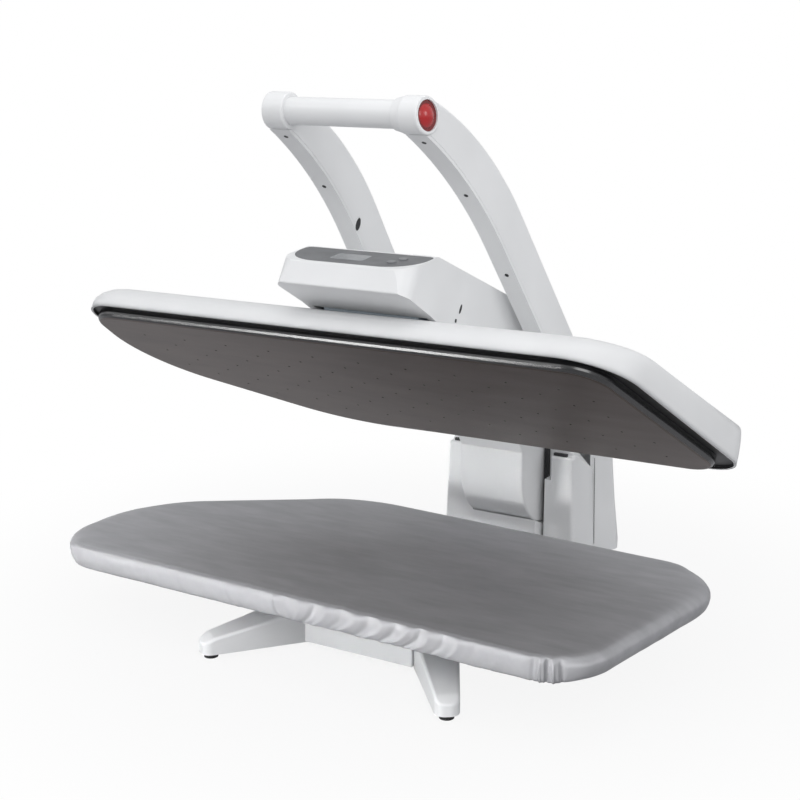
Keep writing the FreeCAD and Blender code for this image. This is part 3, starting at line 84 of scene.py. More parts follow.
# The floor's share of pure white to the camera, by distance: a faint shadow shows near the press only
FLOOR_FADE = {"From Min": 0.30, "From Max": 0.85, "To Min": 0.90, "To Max": 1.0}


def add_camera():
    forward = Vector(CAMERA_FORWARD).normalized()
    right = Vector(CAMERA_RIGHT).normalized()
    up = right.cross(forward)
    lens = bpy.data.cameras.new("camera")
    lens.sensor_width = SENSOR_MM
    lens.lens = LENS_MM
    lens.clip_end = FAR
    camera = bpy.data.objects.new("camera", lens)
    turn = Matrix((right, up, -forward)).transposed().to_4x4()
    camera.matrix_world = Matrix.Translation(CAMERA_PLACE) @ turn
    scene.collection.objects.link(camera)
    scene.camera = camera


def add_floor():
    """Floor that is grey to the light and nearly white to the camera."""
    mesh = bpy.data.meshes.new("floor")
    work = bmesh.new()
    bmesh.ops.create_grid(work, x_segments=2, y_segments=2, size=FLOOR_HALF)
    work.to_mesh(mesh)
    work.free()
    floor = bpy.data.objects.new("floor", mesh)
    scene.collection.objects.link(floor)
    mat = bpy.data.materials.new("floor_white")
    mat.use_nodes = True
    tree = mat.node_tree
    tree.nodes.clear()
    place = add_node(tree, "ShaderNodeNewGeometry").outputs["Position"]
    away = add_node(tree, "ShaderNodeVectorMath", {0: place}, operation="LENGTH").outputs["Value"]
    fade = add_node(tree, "ShaderNodeMapRange", {"Value": away, **FLOOR_FADE}, interpolation_type="SMOOTHSTEP")
    ray = add_node(tree, "ShaderNodeLightPath").outputs["Is Camera Ray"]
    seen = add_node(tree, "ShaderNodeMath", {0: ray, 1: fade.outputs["Result"]}, operation="MULTIPLY")
    diffuse = add_node(tree, "ShaderNodeBsdfDiffuse", {"Color": FLOOR_GREY})
    glow = add_node(tree, "ShaderNodeEmission", {"Color": PURE_WHITE, "Strength": 1.0})
    both = {"Fac": seen.outputs[0], 1: diffuse.outputs[0], 2: glow.outputs[0]}
    mix = add_node(tree, "ShaderNodeMixShader", both)
    add_node(tree, "ShaderNodeOutputMaterial", {"Surface": mix.outputs[0]})
    mesh.materials.append(mat)


def add_world():
    """Soft light from all sides, and a pure white ground to the camera."""
    world = bpy.data.worlds.new("studio")
    scene.world = world
    world.use_nodes = True
    tree = world.node_tree
    tree.nodes.clear()
    ray = add_node(tree, "ShaderNodeLightPath").outputs["Is Camera Ray"]
    soft = add_node(tree, "ShaderNodeBackground", {"Color": SKY, "Strength": SKY_STRENGTH})
    white = add_node(tree, "ShaderNodeBackground", {"Color": PURE_WHITE, "Strength": 1.0})
    mix = add_node(tree, "ShaderNodeMixShader", {"Fac": ray, 1: soft.outputs[0], 2: white.outputs[0]})
    add_node(tree, "ShaderNodeOutputWorld", {"Surface": mix.outputs[0]})


def add_lamp(name, place, target, size, power, spread=180):
    """Area lamp that faces a target, with its power in watts and its spread in degrees."""
    data = bpy.data.lights.new(name, "AREA")
    data.shape = "RECTANGLE"
    data.size, data.size_y = size
    data.energy = power
    data.spread = math.radians(spread)
    lamp = bpy.data.objects.new(name, data)
    lamp.location = place
    lamp.rotation_euler = (Vector(target) - Vector(place)).to_track_quat("-Z", "Y").to_euler()
    scene.collection.objects.link(lamp)


add_camera()
add_floor()
add_world()
scene.view_settings.view_transform = "Standard"
add_lamp("key", (1.8, -2.3, 1.9), (0, -0.1, 0.3), (1.8, 1.6), 29)
add_lamp("left", (-2.4, -1.4, 1.3), (0, 0, 0.3), (1.4, 1.8), 5)
add_lamp("front", (-1.6, -2.4, 0.20), (-0.26, -0.25, 0.085), (1.3, 0.3), 1.0, 17)
add_lamp("edge", (-1.1, -1.65, 1.95), (0.05, -0.27, 0.42), (1.4, 0.3), 4)
add_lamp("right", (2.6, 0.1, 1.5), (0.1, -0.1, 0.58), (1.0, 1.0), 0.48, 30)
add_lamp("top", (0.1, -0.4, 2.6), (0, 0, 0.3), (2.2, 1.6), 13)


# Materials

def shade(color, factor):
    return tuple(min(1.0, c * factor) for c in color)


class Shader:
    """A procedural material under construction, with its texture read in the piece's own frame."""

    def __init__(self, name, color, rough, metal=0.0):
        self.mat = bpy.data.materials.new(name)
        self.mat.use_nodes = True
        self.tree = self.mat.node_tree
        self.bsdf = self.tree.nodes["Principled BSDF"]
        self.color = color
        self.set("Base Color", (*color, 1))
        self.set("Roughness", rough)
        self.set("Metallic", metal)
        where = self.add("ShaderNodeTexCoord")
        self.coord, self.normal = where.outputs["Object"], where.outputs["Normal"]

    def add(self, kind, inputs=None, **settings):
        return add_node(self.tree, kind, inputs, **settings)

    def set(self, socket, value):
        feed(self.tree, self.bsdf.inputs[socket], value)

    def noise(self, scale, detail=3.0, rough=0.5, stretch=None):
        source = self.coord
        if stretch:
            source = self.add("ShaderNodeMapping", {"Vector": source, "Scale": stretch}).outputs[0]
        values = {"Vector": source, "Scale": scale, "Detail": detail, "Roughness": rough}
        return self.add("ShaderNodeTexNoise", values).outputs["Fac"]

    def ramp(self, source, low, high, first, last):
        """Value that goes from first to last while the source goes from low to high."""
        values = {"Value": source, "From Min": low, "From Max": high, "To Min": first, "To Max": last}
        return self.add("ShaderNodeMapRange", values).outputs["Result"]

    def vector(self, operation, first, second, output="Vector"):
        """Join two vectors."""
        return self.add("ShaderNodeVectorMath", {0: first, 1: second}, operation=operation).outputs[output]

    def blend(self, share, socket, first, second):
        """Set a plain value that goes from first to second with the share."""
        self.set(socket, self.ramp(share, 0, 1, first, second))

    def mix_color(self, share, first, second):
        """Set the base colour to a blend of two, where each is a colour or another node's output."""
        pair = [c if isinstance(c, bpy.types.NodeSocket) else (*c, 1) for c in (first, second)]
        tone = self.add("ShaderNodeMix", {0: share, 6: pair[0], 7: pair[1]}, data_type="RGBA").outputs[2]
        self.set("Base Color", tone)
        return tone

    def vary_color(self, source, dark, light, low=0.3, high=0.7):
        """Shade the base colour between two factors by a texture."""
        share = self.ramp(source, low, high, 0, 1)
        return self.mix_color(share, shade(self.color, dark), shade(self.color, light))

    def vary_rough(self, source, low, high):
        self.set("Roughness", self.ramp(source, 0.3, 0.7, low, high))

    def bump(self, source, strength, distance, under=None):
        """Set a bump over the plain surface, or over another bump's normal."""
        values = {"Height": source, "Strength": strength, "Distance": distance}
        if under is not None:
            values["Normal"] = under
        normal = self.add("ShaderNodeBump", values).outputs["Normal"]
        self.set("Normal", normal)
        return normal


NEAR_BLACK = (0.010, 0.010, 0.011)
TO_FRONT = (0, -1, 0)

# The way the sole faces and the middle of the head with the head open
SOLE_DOWN = (0.0, -0.5358, -0.8443)
HEAD_MIDDLE = (0.02, -0.11, 0.353)

# The red button's middle and the line along which it moves
BUTTON_MIDDLE = (0.116, -0.258, 0.6746)
BUTTON_AXIS = (-0.9816, 0.1611, -0.1022)


def plastic(name, color, rough, grain=900.0, depth=0.00006, spread=0.03, rounding=0.0):
    """Moulded plastic and its tone: fine surface grain, faint cloudy tone and uneven gloss."""
    s = Shader(name, color, rough)
    tone = s.vary_color(s.noise(9.0, 2.0), 1 - spread, 1 + spread)
    s.vary_rough(s.noise(40.0, 3.0), rough - 0.05, rough + 0.06)
    under = None
    if rounding:
        under = s.add("ShaderNodeBevel", {"Radius": rounding}, samples=6).outputs["Normal"]
    s.bump(s.noise(grain, 2.0), 0.35, depth, under)
    s.set("IOR", 1.49)
    return s, tone


def moulded(*look):
    """Plastic of one colour."""
    return plastic(*look)[0].mat


def shell_plastic(name, color, rough):
    """White plastic outside and a near-black inner side of painted shade, which shows as the dark line in the
    gap round the platen.
    """
    s, tone = plastic(name, color, rough, rounding=0.009)
    # Painted shade: faces turned in towards the head's middle, the shell's inner side, are near-black
    outward = s.vector("DOT_PRODUCT", s.vector("SUBTRACT", s.coord, HEAD_MIDDLE), s.normal, "Value")
    s.mix_color(s.ramp(outward, -0.004, 0.0, 1, 0), tone, NEAR_BLACK)
    return s.mat


def button_plastic(name, color, rough):
    """Glossy plastic with a darker ring of painted shade round the button's dome, where its recess lies in
    shade.
    """
    s, tone = plastic(name, color, rough, 600.0, 0.00003, 0.06)
    across = s.vector("CROSS_PRODUCT", s.vector("SUBTRACT", s.coord, BUTTON_MIDDLE), BUTTON_AXIS)
    away = s.add("ShaderNodeVectorMath", {0: across}, operation="LENGTH").outputs["Value"]
    # Painted shade: the ring round the dome is darkened as its recess lies in shade
    s.mix_color(s.ramp(away, 0.0122, 0.0136, 0, 1), tone, shade(color, 0.40))
    s.set("Coat Weight", 0.4)
    s.set("Coat Roughness", 0.15)
    return s.mat


def metal(name, color, rough, stretch, depth=0.00004, spread=0.06):
    """Worked metal: brushing along one direction and uneven gloss."""
    s = Shader(name, color, rough, 1.0)
    brush = s.noise(220.0, 4.0, 0.6, stretch)
    s.vary_color(brush, 1 - spread, 1 + spread)
    s.vary_rough(brush, rough - 0.06, rough + 0.08)
    s.bump(brush, 0.3, depth)
    return s.mat


def painted(name, color, rough):
    """Powder coat on steel: orange-peel texture, slight tone changes and uneven gloss."""
    s = Shader(name, color, rough)
    s.vary_color(s.noise(14.0, 3.0), 0.95, 1.04)
    s.vary_rough(s.noise(60.0, 3.0), rough - 0.05, rough + 0.07)
    s.bump(s.noise(420.0, 2.0), 0.5, 0.00012)
    return s.mat


def sole_coat(name):
    """Dark non-stick coat on the platen: fine mottle, faint rub marks, and a glossy black side."""
    s = Shader(name, (0.130, 0.104, 0.094), 0.32, 0.60)
    rub = s.noise(26.0, 4.0, 0.6, (0.35, 1.0, 1.0))
    tone = s.vary_color(rub, 0.85, 1.25, 0.25, 0.75)
    side = s.ramp(s.vector("DOT_PRODUCT", s.normal, SOLE_DOWN, "Value"), 0.80, 0.96, 1, 0)
    s.mix_color(side, tone, NEAR_BLACK)
    s.blend(side, "Roughness", 0.33, 0.25)
    s.blend(side, "Metallic", 0.60, 0.0)
    s.blend(side, "Coat Weight", 0.0, 0.7)
    s.set("Coat Roughness", 0.20)
    s.set("Coat IOR", 1.6)
    s.bump(s.noise(1400.0, 2.0), 0.35, 0.00005)
    s.set("Specular IOR Level", 0.6)
    return s.mat


def satin(name):
    """Metallised satin: a fine twill weave and soft streaky sheen, with a matter, crumpled front side painted
    lighter than the top as painted light.
    """
    s = Shader(name, (0.425, 0.425, 0.44), 0.52, 0.70)
    weave = {"Vector": s.coord, "Scale": 420.0, "Distortion": 1.2, "Detail": 1.0}
    twill = s.add("ShaderNodeTexWave", weave, wave_type="BANDS", bands_direction="DIAGONAL", wave_profile="SIN")
    streak = s.noise(60.0, 4.0, 0.55, (0.25, 1.0, 1.0))
    tone = s.vary_color(streak, 0.90, 1.12, 0.25, 0.75)
    # Painted light: the front-facing side gets a lighter base colour than the top, and also a matter finish and
    # crumples
    front = s.ramp(s.vector("DOT_PRODUCT", s.normal, TO_FRONT, "Value"), 0.45, 0.85, 0, 1)
    s.mix_color(front, tone, (0.48, 0.48, 0.495))
    s.blend(front, "Metallic", 0.70, 0.30)
    s.blend(front, "Roughness", 0.52, 0.58)
    crease = s.bump(s.noise(34.0, 2.0, 0.5, (1.0, 1.4, 1.0)), 0.26, 0.0010)
    crumple = s.noise(70.0, 1.5, 0.45, (1.0, 1.0, 0.6))
    crumple = s.add("ShaderNodeMath", {0: crumple, 1: front}, operation="MULTIPLY").outputs[0]
    crease = s.bump(crumple, 0.8, 0.0034, crease)
    s.bump(twill.outputs["Fac"], 0.25, 0.00006, crease)
    s.set("Sheen Weight", 0.10)
    s.set("Sheen Roughness", 0.35)
    s.set("Anisotropic", 0.35)
    return s.mat


def rubber(name):
    """Black rubber: dusty tone and a fine grain."""
    s = Shader(name, (0.018, 0.018, 0.019), 0.62)
    s.vary_color(s.noise(120.0, 3.0), 0.8, 1.5)
    s.vary_rough(s.noise(300.0, 2.0), 0.55, 0.72)
    s.bump(s.noise(900.0, 2.0), 0.5, 0.0001)
    return s.mat


def foam(name):
    """Open foam: small cells with darker middles."""
    s = Shader(name, (0.72, 0.66, 0.50), 0.95)
    cells = s.add("ShaderNodeTexVoronoi", {"Vector": s.coord, "Scale": 900.0}).outputs["Distance"]
    s.vary_color(cells, 0.7, 1.1, 0, 1)
    s.bump(cells, 0.8, 0.0005)
    return s.mat


def glass_panel(name):
    """Display window: smoked clear plastic over a grey ground with a faint pixel grid."""
    s = Shader(name, (0.17, 0.18, 0.19), 0.18)
    grid = s.add("ShaderNodeTexChecker", {"Vector": s.coord, "Scale": 1400.0}).outputs["Fac"]
    s.vary_color(grid, 0.92, 1.06, 0, 1)
    s.vary_rough(s.noise(30.0, 2.0), 0.12, 0.2)
    s.set("Coat Weight", 0.6)
    s.set("Coat Roughness", 0.08)
    return s.mat


WHITE = (0.79, 0.795, 0.80)
MATERIALS = {
    "white_plastic": moulded("white_plastic", WHITE, 0.38),
    "grip_plastic": moulded("grip_plastic", shade(WHITE, 0.99), 0.33),
    "painted_steel": painted("painted_steel", (0.62, 0.63, 0.65), 0.45),
    "dark_steel": painted("dark_steel", (0.022, 0.022, 0.024), 0.5),
    "steel": metal("steel", (0.52, 0.52, 0.53), 0.34, (0.1, 1.0, 1.0)),
    "coated_aluminium": sole_coat("coated_aluminium"),
    "black_rubber": rubber("black_rubber"),
    "black_plastic": moulded("black_plastic", (0.016, 0.016, 0.017), 0.34, 700.0, 0.00008, 0.2),
    "foam": foam("foam"),
    "satin_cloth": satin("satin_cloth"),
    "red_plastic": button_plastic("red_plastic", (0.42, 0.014, 0.016), 0.25),
    "panel_plastic": moulded("panel_plastic", (0.135, 0.138, 0.145), 0.40, 800.0, 0.00005, 0.06),
    "display": glass_panel("display"),
    "board_plastic": moulded("board_plastic", (0.02, 0.12, 0.045), 0.4, 300.0, 0.0001, 0.15),
    "tank_plastic": moulded("tank_plastic", (0.55, 0.62, 0.68), 0.3, 500.0, 0.00005, 0.04),
    "bush_brass": metal("bush_brass", (0.55, 0.40, 0.14), 0.35, (1.0, 0.2, 1.0)),
    "panel_keys": moulded("panel_keys", (0.20, 0.205, 0.215), 0.35, 800.0, 0.00004, 0.05),
    # The head shell's white is 8% darker than the white plastic: a shaded copy, painted shade that tones down
    # the light on the head
    "shell_plastic": shell_plastic("shell_plastic", shade(WHITE, 0.92), 0.42),
    "screw_steel": metal("screw_steel", (0.05, 0.05, 0.052), 0.45, (0.1, 1.0, 1.0)),
}
# Nodes that have a look of their own in place of their slot's
SPECIAL = {"head_shell": "shell_plastic", "arm_screws": "screw_steel"}
for part in frame["record"]["subparts"]:
    mesh = nodes[part["node"]].data
    mesh.materials.clear()
    mesh.materials.append(MATERIALS[SPECIAL.get(part["node"], part["material_slot"])])


# Board cover and pad

# The board's edge: its front line, and its corners counted from there, each with the radius of its rounding
FRONT = -0.345
CORNERS = [((0.3595, 0.0), 0.076), ((0.4275, 0.357), 0.092), ((-0.1515, 0.387), 0.238),
           ((-0.4135, 0.215), 0.180), ((-0.4195, 0.018), 0.078)]
ARC_STEPS = 80
LINE_STEPS = 200

# Heights of the cover's top and hem
TOP = 0.110
LOW = 0.078
DROP = TOP - LOW

# The cover's section from the hem's inner edge round the side to the flat top, as inset and height:
# a crisp upper edge as along the front, and a full soft roll as at the two ends
CRISP = [(0.0150, 0.0798), (0.0105, 0.0786), (0.0065, 0.0781), (0.0030, 0.0788), (0.0012, 0.0808),
         (0.0003, 0.0838), (0.0, 0.0880), (0.0, 0.0950), (0.0002, 0.1010), (0.0010, 0.1050),
         (0.0028, 0.1081), (0.0060, 0.1095), (0.0110, 0.1099), (0.0360, 0.1099)]
SOFT = [(0.0200, 0.0796), (0.0160, 0.0787), (0.0122, 0.0784), (0.0088, 0.0794), (0.0058, 0.0815),
        (0.0032, 0.0845), (0.0013, 0.0885), (0.0002, 0.0935), (0.0006, 0.0982), (0.0034, 0.1024),
        (0.0085, 0.1060), (0.0160, 0.1084), (0.0250, 0.1095), (0.0360, 0.1099)]

# Folds along the front side: place at the top edge, place at the hem, height of the fold, width
FOLDS = [(-0.042, -0.032, 0.0022, 0.0050), (-0.028, -0.018, -0.0016, 0.0060),
         (-0.004, -0.014, 0.0020, 0.0070), (0.014, -0.006, -0.0024, 0.0060),
         (0.034, 0.012, 0.0026, 0.0080), (0.054, 0.028, -0.0022, 0.0070),
         (0.074, 0.046, 0.0026, 0.0090), (0.092, 0.066, -0.0024, 0.0080),
         (0.112, 0.082, 0.0026, 0.0085), (0.128, 0.100, -0.0026, 0.0065),
         (0.146, 0.114, 0.0030, 0.0070), (0.160, 0.132, -0.0030, 0.0055),
         (0.174, 0.148, 0.0026, 0.0070), (0.192, 0.168, -0.0020, 0.0065),
         (0.212, 0.192, 0.0016, 0.0070), (0.230, 0.216, -0.0010, 0.0060),
         (-0.112, -0.098, 0.0008, 0.0060), (-0.188, -0.174, 0.0008, 0.0050),
         (-0.082, -0.096, -0.0008, 0.0080), (0.260, 0.254, 0.0007, 0.0060),
         (0.304, 0.302, -0.0020, 0.0028), (0.312, 0.311, 0.0034, 0.0026),
         (0.319, 0.318, -0.0046, 0.0024), (0.326, 0.326, 0.0034, 0.0028),
         (0.334, 0.335, -0.0024, 0.0034)]

# Points round the cover, its rings from hem to top, and how many of them the hem's waves can move
COVER_POINTS = 1400
COVER_RINGS = 31
HEM_RINGS = 14
COVER_PITCH = 0.007
COVER_TOP = TOP - 0.0002
CLOTH = 0.0009

# The pad's section from its lower edge to the flat top, as inset and height
PAD = [(0.0045, 0.0902), (0.0040, 0.0942), (0.0055, 0.0980), (0.0090, 0.1013),
       (0.0140, 0.1043), (0.0210, 0.1062), (0.0300, 0.1072), (0.0400, 0.1077)]
PAD_POINTS = 240
PAD_PITCH = 0.02
PAD_TOP = 0.1078


def outline(count):
    """Evenly spaced points along the board's edge, anticlockwise, with outward normals and distances."""
    runs = []
    places = [Vector((x, FRONT + y)) for (x, y), r in CORNERS]
    size = len(places)
    ends = []
    for k in range(size):
        before = (places[k] - places[k - 1]).normalized()
        after = (places[(k + 1) % size] - places[k]).normalized()
        half = before.angle(after) / 2
        radius = CORNERS[k][1]
        reach = radius * math.tan(half)
        middle = places[k] + (after - before).normalized() * (radius / math.cos(half))
        ends.append((places[k] - before * reach, places[k] + after * reach, middle, radius, half))
    for k in range(size):
        arrive, leave, middle, radius, half = ends[k]
        start = math.atan2(arrive.y - middle.y, arrive.x - middle.x)
        for j in range(ARC_STEPS):
            angle = start + 2 * half * j / ARC_STEPS
            normal = Vector((math.cos(angle), math.sin(angle)))
            runs.append((middle + normal * radius, normal))
        goal = ends[(k + 1) % size][0]
        along = (goal - leave).normalized()
        side = Vector((along.y, -along.x))
        for j in range(LINE_STEPS):
            runs.append((leave.lerp(goal, j / LINE_STEPS), side))
    points = np.array([p for p, n in runs])
    normals = np.array([n for p, n in runs])
    closed = np.vstack([points, points[:1]])
    lengths = np.concatenate([[0], np.cumsum(np.linalg.norm(np.diff(closed, axis=0), axis=1))])
    wanted = np.arange(count) * lengths[-1] / count
    loop_normals = np.vstack([normals, normals[:1]])
    place = np.stack([np.interp(wanted, lengths, closed[:, i]) for i in (0, 1)], axis=1)
    normal = np.stack([np.interp(wanted, lengths, loop_normals[:, i]) for i in (0, 1)], axis=1)
    normal /= np.linalg.norm(normal, axis=1)[:, None]
    return place, normal, wanted


def smooth(edge0, edge1, value):
    share = np.clip((value - edge0) / (edge1 - edge0), 0.0, 1.0)
    return share * share * (3 - 2 * share)


def wave(values, seed):
    """Smooth noise of one variable, for a whole array."""
    return np.array([noise.noise(Vector((float(v), seed * 7.31, seed * 1.7))) for v in values])


def mesh_piece(name, points, faces, slot, rounded=True):
    """New piece from points and faces, with all faces turned the same way."""
    mesh = bpy.data.meshes.new(name)
    mesh.from_pydata([tuple(p) for p in points], [], faces)
    mesh.validate()
    mesh.materials.append(MATERIALS[slot])
    if rounded:
        mesh.shade_smooth()
    work = bmesh.new()
    work.from_mesh(mesh)
    bmesh.ops.recalc_face_normals(work, faces=work.faces)
    work.to_mesh(mesh)
    work.free()
    piece = bpy.data.objects.new(name, mesh)
    scene.collection.objects.link(piece)
    return piece


def apply_all(piece):
    """Make the piece's modifiers part of its mesh."""
    bpy.context.view_layer.update()
    made = bpy.data.meshes.new_from_object(piece.evaluated_get(bpy.context.evaluated_depsgraph_get()))
    old = piece.data
    piece.modifiers.clear()
    piece.data = made
    bpy.data.meshes.remove(old)


def section(mix):
    """Inset and height of each point along the edge for every ring, between crisp and soft by mix."""
    crisp, soft = np.array(CRISP), np.array(SOFT)
    keys = np.arange(len(crisp))
    rings = []
    for t in np.linspace(0, len(crisp) - 1, COVER_RINGS):
        a = np.array([np.interp(t, keys, crisp[:, i]) for i in (0, 1)])
        b = np.array([np.interp(t, keys, soft[:, i]) for i in (0, 1)])
        rings.append(a * (1 - mix[:, None]) + b * mix[:, None])
    return rings


def cover_rings(place, normal, along):
    """Rings of points of the gathered cover, hem first."""
    mix = smooth(0.30, 0.80, np.abs(normal[:, 0])) * 0.9 + smooth(0.3, 0.9, normal[:, 1]) * 0.6
    mix = np.clip(mix, 0.08, 1.0)
    # The front side, and the stretch of it where the hem is drawn in most
    front = smooth(0.55, 0.95, -normal[:, 1])
    gathers = front * smooth(-0.09, -0.03, place[:, 0]) * (1 - smooth(0.22, 0.27, place[:, 0]))
    fine = wave(along / 0.0085, 1) + 0.6 * wave(along / 0.0047, 2)
    rings = []
    for index, ring in enumerate(section(mix)):
        inset, height = ring[:, 0], ring[:, 1]
        rise = np.clip((height - LOW) / DROP, 0, 1)
        # How far each point belongs to the hem, to the side and to the part below the upper edge
        low = 1 - smooth(0.0, 0.5, rise)
        side = 1 - smooth(0.86, 1.0, rise) * smooth(0.004, 0.012, inset)
        edge = 1 - smooth(0.78, 1.0, rise)
        # Outward: the folds, each a ridge with a hollow beside it, then small waves
        push = np.zeros(len(along))
        for top, hem, size, width in FOLDS:
            bow = 0.35 * (top - hem) * np.sin(math.pi * rise)
            middle = hem + (top - hem) * rise + bow
            across = (place[:, 0] - middle) / (width * (0.55 + 0.40 * rise))
            shape = np.exp(-np.abs(across) ** 1.6) - 0.45 * np.exp(-((across + 1.25) / 0.8) ** 2)
            push = push + 0.85 * size * shape * (0.10 + 0.90 * edge) * front
        push = push * (1 - smooth(0.010, 0.022, inset) * (height > 0.1))
        push = push + 0.0005 * fine * low * (0.35 + gathers)
        push = push + 0.0006 * wave(along / 0.045, 5) * side * (1 - gathers)
        # Upward: waves of the hem and of the crest
        drop = low * (0.0009 * wave(along / 0.020, 6) + 0.0004 * fine) * (0.4 + 1.4 * gathers)
        drop = drop + 0.5 * push * low * gathers
        crest = smooth(0.80, 0.95, rise) * (1 - smooth(0.012, 0.03, inset)) * gathers
        rise_more = crest * (0.0006 * wave(along / 0.018, 7) + 0.00025 * fine)
        flat = place - normal * (inset - push)[:, None]
        rings.append(np.column_stack([flat, height + drop * (index < HEM_RINGS) + rise_more]))
    return rings


def top_relief(x, y):
    """Slight unevenness of the cloth on the flat top."""
    broad = noise.noise(Vector((x * 5, y * 7, 0.3)))
    return 0.00045 * broad + 0.00012 * noise.noise(Vector((x * 24 + y * 9, y * 26, 4.0)))


def fill_top(ring, pitch, height):
    """Points and triangles of an even sheet inside a ring."""
    low, high = ring.min(axis=0), ring.max(axis=0)
    inner = []
    for row, y in enumerate(np.arange(low[1], high[1], pitch * 0.87)):
        for x in np.arange(low[0] + 0.5 * pitch * (row % 2), high[0], pitch):
            gap = np.min((ring[:, 0] - x) ** 2 + (ring[:, 1] - y) ** 2)
            if gap > (0.7 * pitch) ** 2:
                inner.append((x, y))
    count = len(ring)
    spots = [Vector(p[:2]) for p in ring] + [Vector(p) for p in inner]
    verts, edges, faces = delaunay_2d_cdt(spots, [], [list(range(count))], 1, 1e-7)[:3]
    levels = [ring[k][2] if k < count else height for k in range(len(verts))]
    return [(v[0], v[1], z) for v, z in zip(verts, levels)], faces


def ring_faces(rings, around):
    """Four-sided faces between rings of points."""
    faces = []
    for r in range(rings - 1):
        for k in range(around):
            a, b = r * around + k, r * around + (k + 1) % around
            faces.append((a, b, b + around, a + around))
    return faces


def sheet_mesh(name, rings, pitch, height, slot, relief=None, bottom=False):
    """Piece from rings, closed by a flat sheet inside the last one and, with bottom, under the first."""
    around = len(rings[0])
    points = [tuple(p) for p in np.vstack(rings)]
    faces = ring_faces(len(rings), around)
    inner, triangles = fill_top(rings[-1], pitch, height)
    start = (len(rings) - 1) * around
    fixed = {k: start + k for k in range(around)}
    for k in range(around, len(inner)):
        x, y, z = inner[k]
        fixed[k] = len(points)
        points.append((x, y, z + (relief(x, y) if relief else 0.0)))
    faces += [tuple(fixed[k] for k in face) for face in triangles]
    if bottom:
        faces.append(tuple(range(around - 1, -1, -1)))
    return mesh_piece(name, points, faces, slot)


def make_cover():
    """Cloth cover with its gathered hem, in place of the plain CAD cover."""
    rings = cover_rings(*outline(COVER_POINTS))
    cover = sheet_mesh("board_cover_cloth", rings, COVER_PITCH, COVER_TOP, "satin_cloth", top_relief)
    solid = cover.modifiers.new("thickness", "SOLIDIFY")
    solid.thickness = CLOTH
    solid.offset = -1.0
    apply_all(cover)
    cover.data.shade_smooth()
    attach(cover, "base")
    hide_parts("board_cover")


def make_pad():
    """Foam pad with a rounded edge, in place of the plain CAD pad."""
    place, normal, along = outline(PAD_POINTS)
    rings = [np.column_stack([place - normal * inset, np.full(len(place), height)]) for inset, height in PAD]
    pad = sheet_mesh("foam_pad_soft", rings, PAD_PITCH, PAD_TOP, "foam", bottom=True)
    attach(pad, "base")
    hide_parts("foam_pad")


make_cover()
make_pad()


# Small pieces made here only: black plates of painted shade over openings and along joints, and a wall under
# the neck

HINGE = Vector((0.0, 0.2145, 0.1646))
OPENING = Matrix.Rotation(math.radians(-32.4), 3, "X")

# A painted-shade plate's corners, its lift off the surface and its thickness, and where the surface is felt
# beside it
MARK_CORNERS = 24
MARK_LIFT = 0.00005
MARK_THICK = 0.0003
MARK_FEEL = 0.010


def opened(y, z):
    """Where a point of the shut head is with the head open."""
    return HINGE + OPENING @ (Vector((0, y, z)) - HINGE)


def prism(name, outline_points, depth, slot, body):
    """Plate from a ring of points, thickened along a vector."""
    count = len(outline_points)
    points = list(outline_points) + [p + depth for p in outline_points]
    faces = [tuple(range(count - 1, -1, -1)), tuple(range(count, 2 * count))]
    faces += [(k, (k + 1) % count, count + (k + 1) % count, count + k) for k in range(count)]
    piece = mesh_piece(name, points, faces, slot, rounded=False)
    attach(piece, body)


def struck(node, start, towards):
    """Point and normal where a line along X first meets a node."""
    found, place, normal, face = nodes[node].ray_cast(start, Vector((towards, 0, 0)))
    if not found:
        raise RuntimeError("no face of " + node + " on the line")
    return place, normal


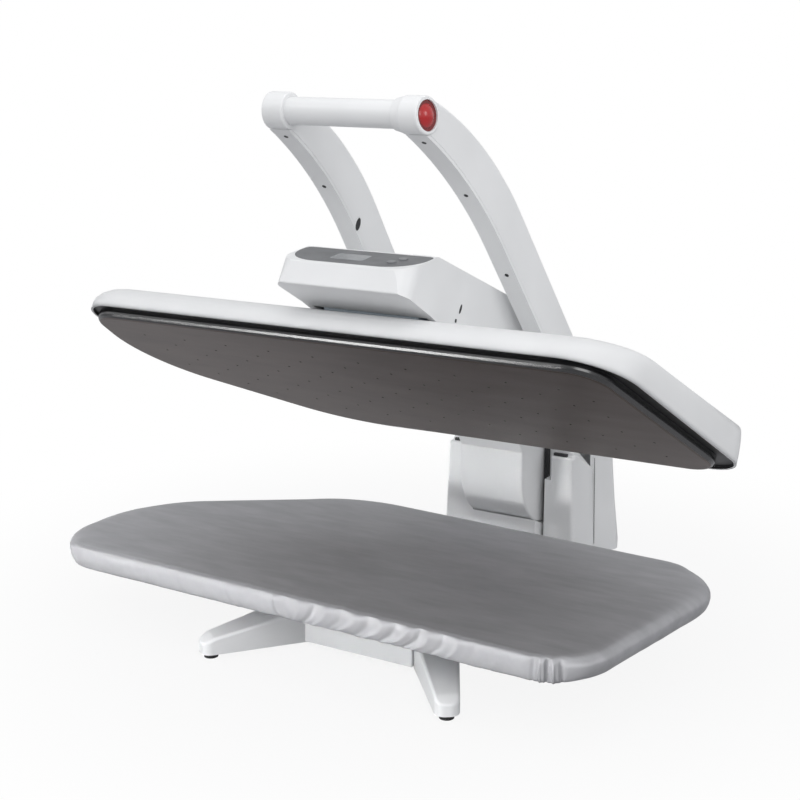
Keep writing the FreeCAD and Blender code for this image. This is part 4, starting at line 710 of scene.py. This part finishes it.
def painted_shade_plate(name, node, y, z, start, towards, half, tall, body):
    """Thin black plate of painted shade over a small opening in a node's side, standing for the dark inside of
    the opening.
    """
    spots = []
    for shift in (-MARK_FEEL, MARK_FEEL):
        line = opened(y + shift, z)
        line.x = start
        spots.append(struck(node, line, towards))
    middle = (spots[0][0] + spots[1][0]) / 2
    normal = (spots[0][1] + spots[1][1]).normalized()
    up = OPENING @ Vector((0, 0, 1))
    up = (up - normal * up.dot(normal)).normalized()
    side = normal.cross(up)
    ring = []
    for k in range(MARK_CORNERS):
        angle = 2 * math.pi * k / MARK_CORNERS
        ring.append(middle + normal * MARK_LIFT + side * half * math.cos(angle) + up * tall * math.sin(angle))
    prism(name, ring, normal * MARK_THICK, "black_plastic", body)


def make_seams():
    """Thin black strip of painted shade along the joint between each upright and the rear cover, standing for
    the shadow in the joint's gap.
    """
    front, felt, back = 0.2563, 0.2566, 0.2576
    lift, thick = 0.0001, 0.0002
    for side, start, towards in (("right", 0.3, -1), ("left", -0.3, 1)):
        edge = []
        for z in np.linspace(0.016, 0.150, 18):
            ahead = struck("upright_" + side, Vector((start, felt, z)), towards)[0].x
            behind = struck("rear_cover", Vector((start, back, z)), towards)[0].x
            outer = min(ahead, behind) if towards > 0 else max(ahead, behind)
            edge.append((outer - towards * lift, z))
        ring = [Vector((x, front, z)) for x, z in edge]
        ring += [Vector((x, back, z)) for x, z in reversed(edge)]
        # Painted shade: a black strip stands for the shadow in the gap of each joint
        prism("column_seam_shade_" + side, ring, Vector((-towards * thick, 0, 0)), "black_plastic", "base")


def make_apron():
    """White wall under the neck's drum, its top hollowed along the drum's path."""
    left, width = -0.033, 0.107
    front, back, low = 0.160, 0.1905, 0.0290
    reach = 0.1068
    ring = [Vector((left, front, low)), Vector((left, back, low))]
    for y in np.linspace(back, front, 10):
        ring.append(Vector((left, y, HINGE.z - math.sqrt(reach ** 2 - (y - HINGE.y) ** 2))))
    prism("column_apron", ring, Vector((width, 0, 0)), "white_plastic", "base")


bpy.context.view_layer.update()
# Painted shade: black plates stand for the dark inside of the keyhole and of the hood's slot and hole
painted_shade_plate("keyhole_shade", "left_arm", -0.236, 0.304, 0.0, -1, 0.0055, 0.0085, "handle")
painted_shade_plate("hood_slot_shade", "control_hood", -0.2375, 0.2035, 0.3, -1, 0.0024, 0.0060, "head")
painted_shade_plate("hood_hole_shade", "control_hood", -0.2415, 0.1865, 0.3, -1, 0.0022, 0.0024, "head")
make_seams()
make_apron()
